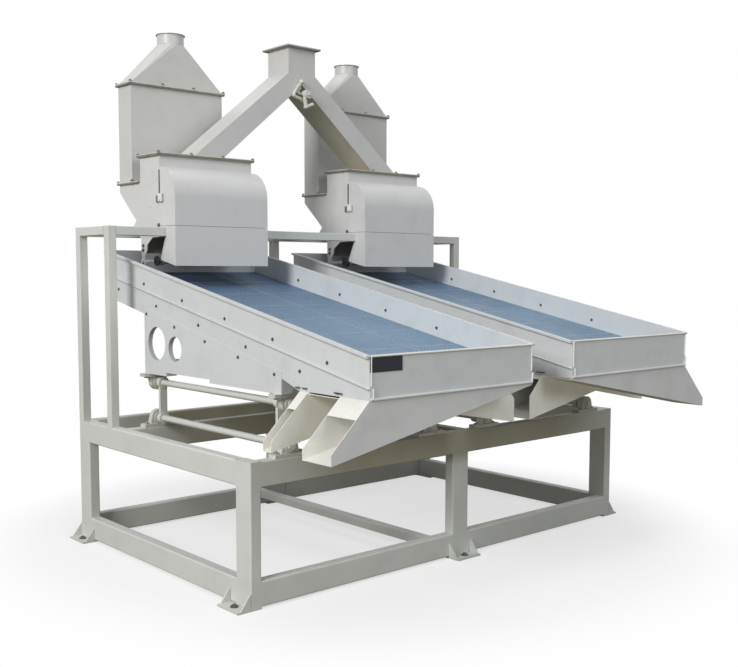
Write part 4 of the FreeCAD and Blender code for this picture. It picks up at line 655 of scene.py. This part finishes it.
def makeFeederFittings(side, sign):
    gapShades, latches, keepers, pins, rings, foot = (bmesh.new() for number in range(6))
    for x, way in feederFaces(sign):
        addSideBlock(gapShades, x, way, coverGapShade["span"], coverGapShade["thick"])
        addSideBlock(latches, x + way * coverLatch["off"], way, coverLatch["span"], coverLatch["thick"])
        addSideBlock(keepers, x + way * latchKeeper["off"], way, latchKeeper["span"], latchKeeper["thick"])
        addSideRod(latches, x, way, (coverLatch["off"], coverLatch["pinEnd"]), coverLatch["pin"],
                   coverLatch["pinRadius"])
        for y, z in feederBolts["places"]:
            addBolt(pins, (x, y, z), (way, 0, 0), feederBolts)
        addSideRod(rings, x, way, rollerRing["reach"], rollerRing["place"], rollerRing["radius"], sides=32)
        addSideRod(rings, x, way, rollerRing["hubReach"], rollerRing["place"], rollerRing["hub"])
    low, high = sorted(sign * x for x in partitionFoot["ends"])
    addBlock(foot, ((low + high) / 2, partitionFoot["y"], partitionFoot["z"]),
             (high - low, partitionFoot["thick"], partitionFoot["high"]))
    for name, shape, material, body, slotName in (
            ("cover_gap_shades", gapShades, "rubber", "root", "belt_rubber"),
            ("cover_latches", latches, "bead", side + "_cover", "feeder_paint"),
            ("latch_keepers", keepers, "bolt", "root", "zinc"),
            ("feeder_side_bolts", pins, "bolt", "root", "zinc"),
            ("roller_rings", rings, "rubber", side + "_roller", "steel"),
            ("partition_foot", foot, "paintedShade", "root", "feeder_paint")):
        finishPiece(side + "_" + name, shape, material, body)


# feeder box with the photograph's hanging plates, the roller's arms and their rail
hanger = {"under": 1.7239,      # the solid's own plates below this height make way
          "outline": ((0.756, 1.7245), (0.620, 1.7245), (0.684, 1.680), (0.690, 1.644), (0.722, 1.602), (0.722, 1.575),
                      (0.748, 1.575), (0.755, 1.645)),
          "sheet": 0.004, "arm": (0.540, 0.735, 1.582, 1.596), "bar": (0.697, 0.707, 1.566, 1.612), "barThick": 0.007,
          "pivot": (0.735, 1.586), "pivotRadius": 0.0125, "pivotEnd": 0.009,
          "rail": (0.718, 1.589), "railEnds": (1.001, 0.386), "railRadius": 0.008}


def makeFeederBox(side, sign, look):
    shape = copyNode(side + "_feeder_box")
    old = [vert for vert in shape.verts if vert.co.z < look["under"]]
    bmesh.ops.delete(shape, geom=old, context="VERTS")
    kept = shape.faces[:]
    for x, way in feederFaces(sign):
        addPlate(shape, [(x, y, z) for y, z in look["outline"]], (-way * look["sheet"], 0.0, 0.0))
        addSideBlock(shape, x, way, look["arm"], look["sheet"])
        addSideBlock(shape, x, way, look["bar"], look["barThick"])
        addSideRod(shape, x, way, (-look["sheet"], look["pivotEnd"]), look["pivot"], look["pivotRadius"])
    start, end = ((sign * x, *look["rail"]) for x in look["railEnds"])
    addRod(shape, start, end, look["railRadius"])
    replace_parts(finishPiece(side + "_feed_box", shape, "feeder", "root", kept), side + "_feeder_box")


gateLook = {"place": (0.645, 1.905), "shaft": 0.008, "ends": (1.0005, 0.3865), "plate": (1.7870, 1.8985),
            "slack": 0.004, "sheet": 0.003, "cap": 0.012, "capHigh": 0.0012, "capTaper": 0.9}


def makeGate(side, sign, look):
    far, near = (sign * x for x in look["ends"])
    low, high = look["plate"]
    flap = bmesh.new()
    addRod(flap, (far, *look["place"]), (near, *look["place"]), look["shaft"], sides=24)
    addBlock(flap, ((far + near) / 2, look["place"][0], (low + high) / 2),
             (abs(far - near) - look["slack"], look["sheet"], high - low))
    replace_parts(finishPiece(side + "_gate_flap", flap, "steel", side + "_gate"), side + "_feed_gate")
    caps = bmesh.new()
    for x, way in feederFaces(sign):
        addSideRod(caps, x, way, (0.0, look["capHigh"]), look["place"], look["cap"],
                   endRadius=look["cap"] * look["capTaper"], sides=32)
    finishPiece(side + "_gate_caps", caps, "feeder", "root")


for sideName, sideSign in sides:
    makeFeederFittings(sideName, sideSign)
    makeFeederBox(sideName, sideSign, hanger)
    makeGate(sideName, sideSign, gateLook)
print("feeder fittings made")

# distributor with its pointed crotch, open at the inlet and at both feet
forkLook = {"outline": ((-0.103, 2.913), (-0.103, 2.750), (-0.776, 2.197), (-0.578, 2.197), (0.0, 2.686),
                        (0.578, 2.197), (0.776, 2.197), (0.103, 2.750), (0.103, 2.913)),
            "mouths": (2.913, 2.197), "near": 0.001, "front": 0.527, "back": 0.743, "sheet": 0.003,
            "flange": ((-0.129, 0.129), (0.501, 0.769), (2.913, 2.919)), "flangeWide": 0.0285}


def makeFork(look):
    shape = bmesh.new()
    addPlate(shape, [(x, look["front"], z) for x, z in look["outline"]], (0.0, look["back"] - look["front"], 0.0))
    bmesh.ops.recalc_face_normals(shape, faces=shape.faces)
    mouths = []
    for face in shape.faces:
        height = face.calc_center_median().z
        if min(abs(height - level) for level in look["mouths"]) < look["near"]:
            mouths.append(face)
    bmesh.ops.delete(shape, geom=mouths, context="FACES_ONLY")
    bmesh.ops.solidify(shape, geom=shape.faces[:], thickness=look["sheet"])
    addFrame(shape, *look["flange"], look["flangeWide"])
    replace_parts(finishPiece("fork", shape, "duct", "root"), "distributor")


# lever that turns the flap, and the casting behind it
castingLook = {
    "outline": ((-0.018, 2.696), (-0.050, 2.661), (-0.071, 2.631), (-0.074, 2.614), (-0.056, 2.605), (-0.024, 2.599),
                (-0.006, 2.589)),
    "ribs": ((-0.024, 2.667), (-0.043, 2.635), (-0.012, 2.627), (0.002, 2.644)),
    "y": 0.5145, "radius": 0.0115, "ribY": 0.5175, "ribRadius": 0.0075,
    "knob": (-0.018, 0.5085, 2.700), "knobRadius": 0.017,
}
leverLook = {
    "hub": (0.014, 2.626), "hubRadius": 0.030, "hubTaper": 0.86, "hubFront": 0.472, "hubBack": 0.502,
    "eye": 0.013, "eyeHigh": 0.008, "eyeTaper": 0.8,
    "axle": (0.0, 2.627), "axleEnd": 0.528, "axleRadius": 0.009,
    "stem": ((-0.009, 2.600), (-0.001, 2.547)), "stemY": 0.487, "stemRadius": 0.0125,
    "grip": ((-0.008, 2.545), (0.047, 2.568)), "gripY": 0.483, "gripRadius": 0.0115,
    "flap": (2.700, 2.777), "flapY": 0.635, "flapThick": 0.003, "flapDeep": 0.204,
}


def addChain(shape, points, y, radius):
    for (x0, z0), (x1, z1) in zip(points, points[1:]):
        addRod(shape, (x0, y, z0), (x1, y, z1), radius)
    for x, z in points:
        addBall(shape, (x, y, z), radius)


def addAlong(shape, place, start, end, radius, **more):
    x, z = place
    addRod(shape, (x, start, z), (x, end, z), radius, **more)


def makeCasting(look):
    shape = bmesh.new()
    addChain(shape, look["outline"], look["y"], look["radius"])
    addChain(shape, look["ribs"], look["ribY"], look["ribRadius"])
    addBall(shape, look["knob"], look["knobRadius"], 20, 12)
    finishPiece("lever_casting", shape, "bearing", "root")


def makeLever(look):
    shape = bmesh.new()
    front, back = look["hubFront"], look["hubBack"]
    addAlong(shape, look["hub"], back, front, look["hubRadius"], endRadius=look["hubRadius"] * look["hubTaper"],
             sides=32)
    addAlong(shape, look["hub"], front, front - look["eyeHigh"], look["eye"], endRadius=look["eye"] * look["eyeTaper"],
             sides=6)
    addAlong(shape, look["axle"], back, look["axleEnd"], look["axleRadius"])
    addChain(shape, look["stem"], look["stemY"], look["stemRadius"])
    addChain(shape, look["grip"], look["gripY"], look["gripRadius"])
    low, high = look["flap"]
    addBlock(shape, (0.0, look["flapY"], (low + high) / 2), (look["flapThick"], look["flapDeep"], high - low))
    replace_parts(finishPiece("lever", shape, "bearing", "diverter"), "diverter")


makeFork(forkLook)
makeCasting(castingLook)
makeLever(leverLook)
print("distributor and lever made")

# floor, light and background
floorLook = {"size": 40.0, "rough": 0.9, "colour": (0.93, 0.93, 0.93), "bounce": (0.28, 0.26, 0.21), "white": 0.62,
             "shadowReach": (1.6, 2.4)}
skyLook = {"colour": (0.93, 0.96, 1.0), "strength": 0.32}
lamps = {
    "key": {"place": (-12.0, -3.3, 7.0), "aim": (0.0, -0.2, 0.9), "power": 1165.0, "size": 4.2, "colour": white},
    "front": {"place": (0.4, -8.8, 5.4), "aim": (0.0, -0.6, 0.6), "power": 162.0, "size": 3.6,
              "colour": (0.94, 0.97, 1.0)},
    "top": {"place": (0.0, -0.6, 8.0), "aim": (0.0, -0.4, 0.5), "power": 105.0, "size": 5.0, "colour": white},
}


def makeFloor(look):
    shape = bmesh.new()
    bmesh.ops.create_grid(shape, x_segments=1, y_segments=1, size=look["size"])
    mesh = bpy.data.meshes.new("floor")
    shape.to_mesh(mesh)
    shape.free()
    material, tree, shader = newMaterial("floorCard")
    shader.inputs["Roughness"].default_value = look["rough"]
    glow = addNode(tree, "ShaderNodeEmission")
    camera = addNode(tree, "ShaderNodeLightPath").outputs["Is Camera Ray"]
    tint = mixColours(tree, camera, look["bounce"], look["colour"])      # seen as a pale card, reflects a warm light
    tree.links.new(tint, shader.inputs["Base Color"])
    far = addNode(tree, "ShaderNodeVectorMath", operation="LENGTH")
    tree.links.new(addNode(tree, "ShaderNodeTexCoord").outputs["Object"], far.inputs[0])
    fade = addNode(tree, "ShaderNodeMapRange", interpolation_type="SMOOTHSTEP")      # all white away from the feet
    fade.inputs["From Min"].default_value, fade.inputs["From Max"].default_value = look["shadowReach"]
    fade.inputs["To Min"].default_value = look["white"]
    tree.links.new(far.outputs["Value"], fade.inputs["Value"])
    share = mathOn(tree, "MULTIPLY", camera, fade.outputs["Result"])
    blendShaders(tree, share, shader.outputs[0], glow.outputs[0], "Material Output")
    mesh.materials.append(material)
    floor = bpy.data.objects.new("floor", mesh)
    bpy.context.scene.collection.objects.link(floor)


def makeLamp(name, lamp):
    light = bpy.data.lights.new(name, "AREA")
    light.energy = lamp["power"]
    light.size = lamp["size"]
    light.color = lamp["colour"]
    holder = bpy.data.objects.new(name, light)
    bpy.context.scene.collection.objects.link(holder)
    aim = Vector(lamp["aim"]) - Vector(lamp["place"])
    holder.matrix_world = Matrix.Translation(lamp["place"]) @ aim.to_track_quat("-Z", "Y").to_matrix().to_4x4()


def makeSky(look):
    world = bpy.data.worlds.new("studio")
    bpy.context.scene.world = world
    world.use_nodes = True
    tree = world.node_tree
    around = tree.nodes["Background"]
    around.inputs["Color"].default_value = (*look["colour"], 1.0)
    around.inputs["Strength"].default_value = look["strength"]
    backdrop = addNode(tree, "ShaderNodeBackground")      # plain white where it is seen, mirrored or seen through
    backdrop.inputs["Color"].default_value = (*white, 1.0)
    rays = addNode(tree, "ShaderNodeLightPath").outputs
    seen = mathOn(tree, "MAXIMUM", rays["Is Camera Ray"], rays["Is Transmission Ray"])
    seen = mathOn(tree, "MAXIMUM", seen, rays["Is Glossy Ray"])
    blendShaders(tree, seen, around.outputs[0], backdrop.outputs[0], "World Output")


makeFloor(floorLook)
for lampName, lampValues in lamps.items():
    makeLamp(lampName, lampValues)
makeSky(skyLook)
print("floor and light made")
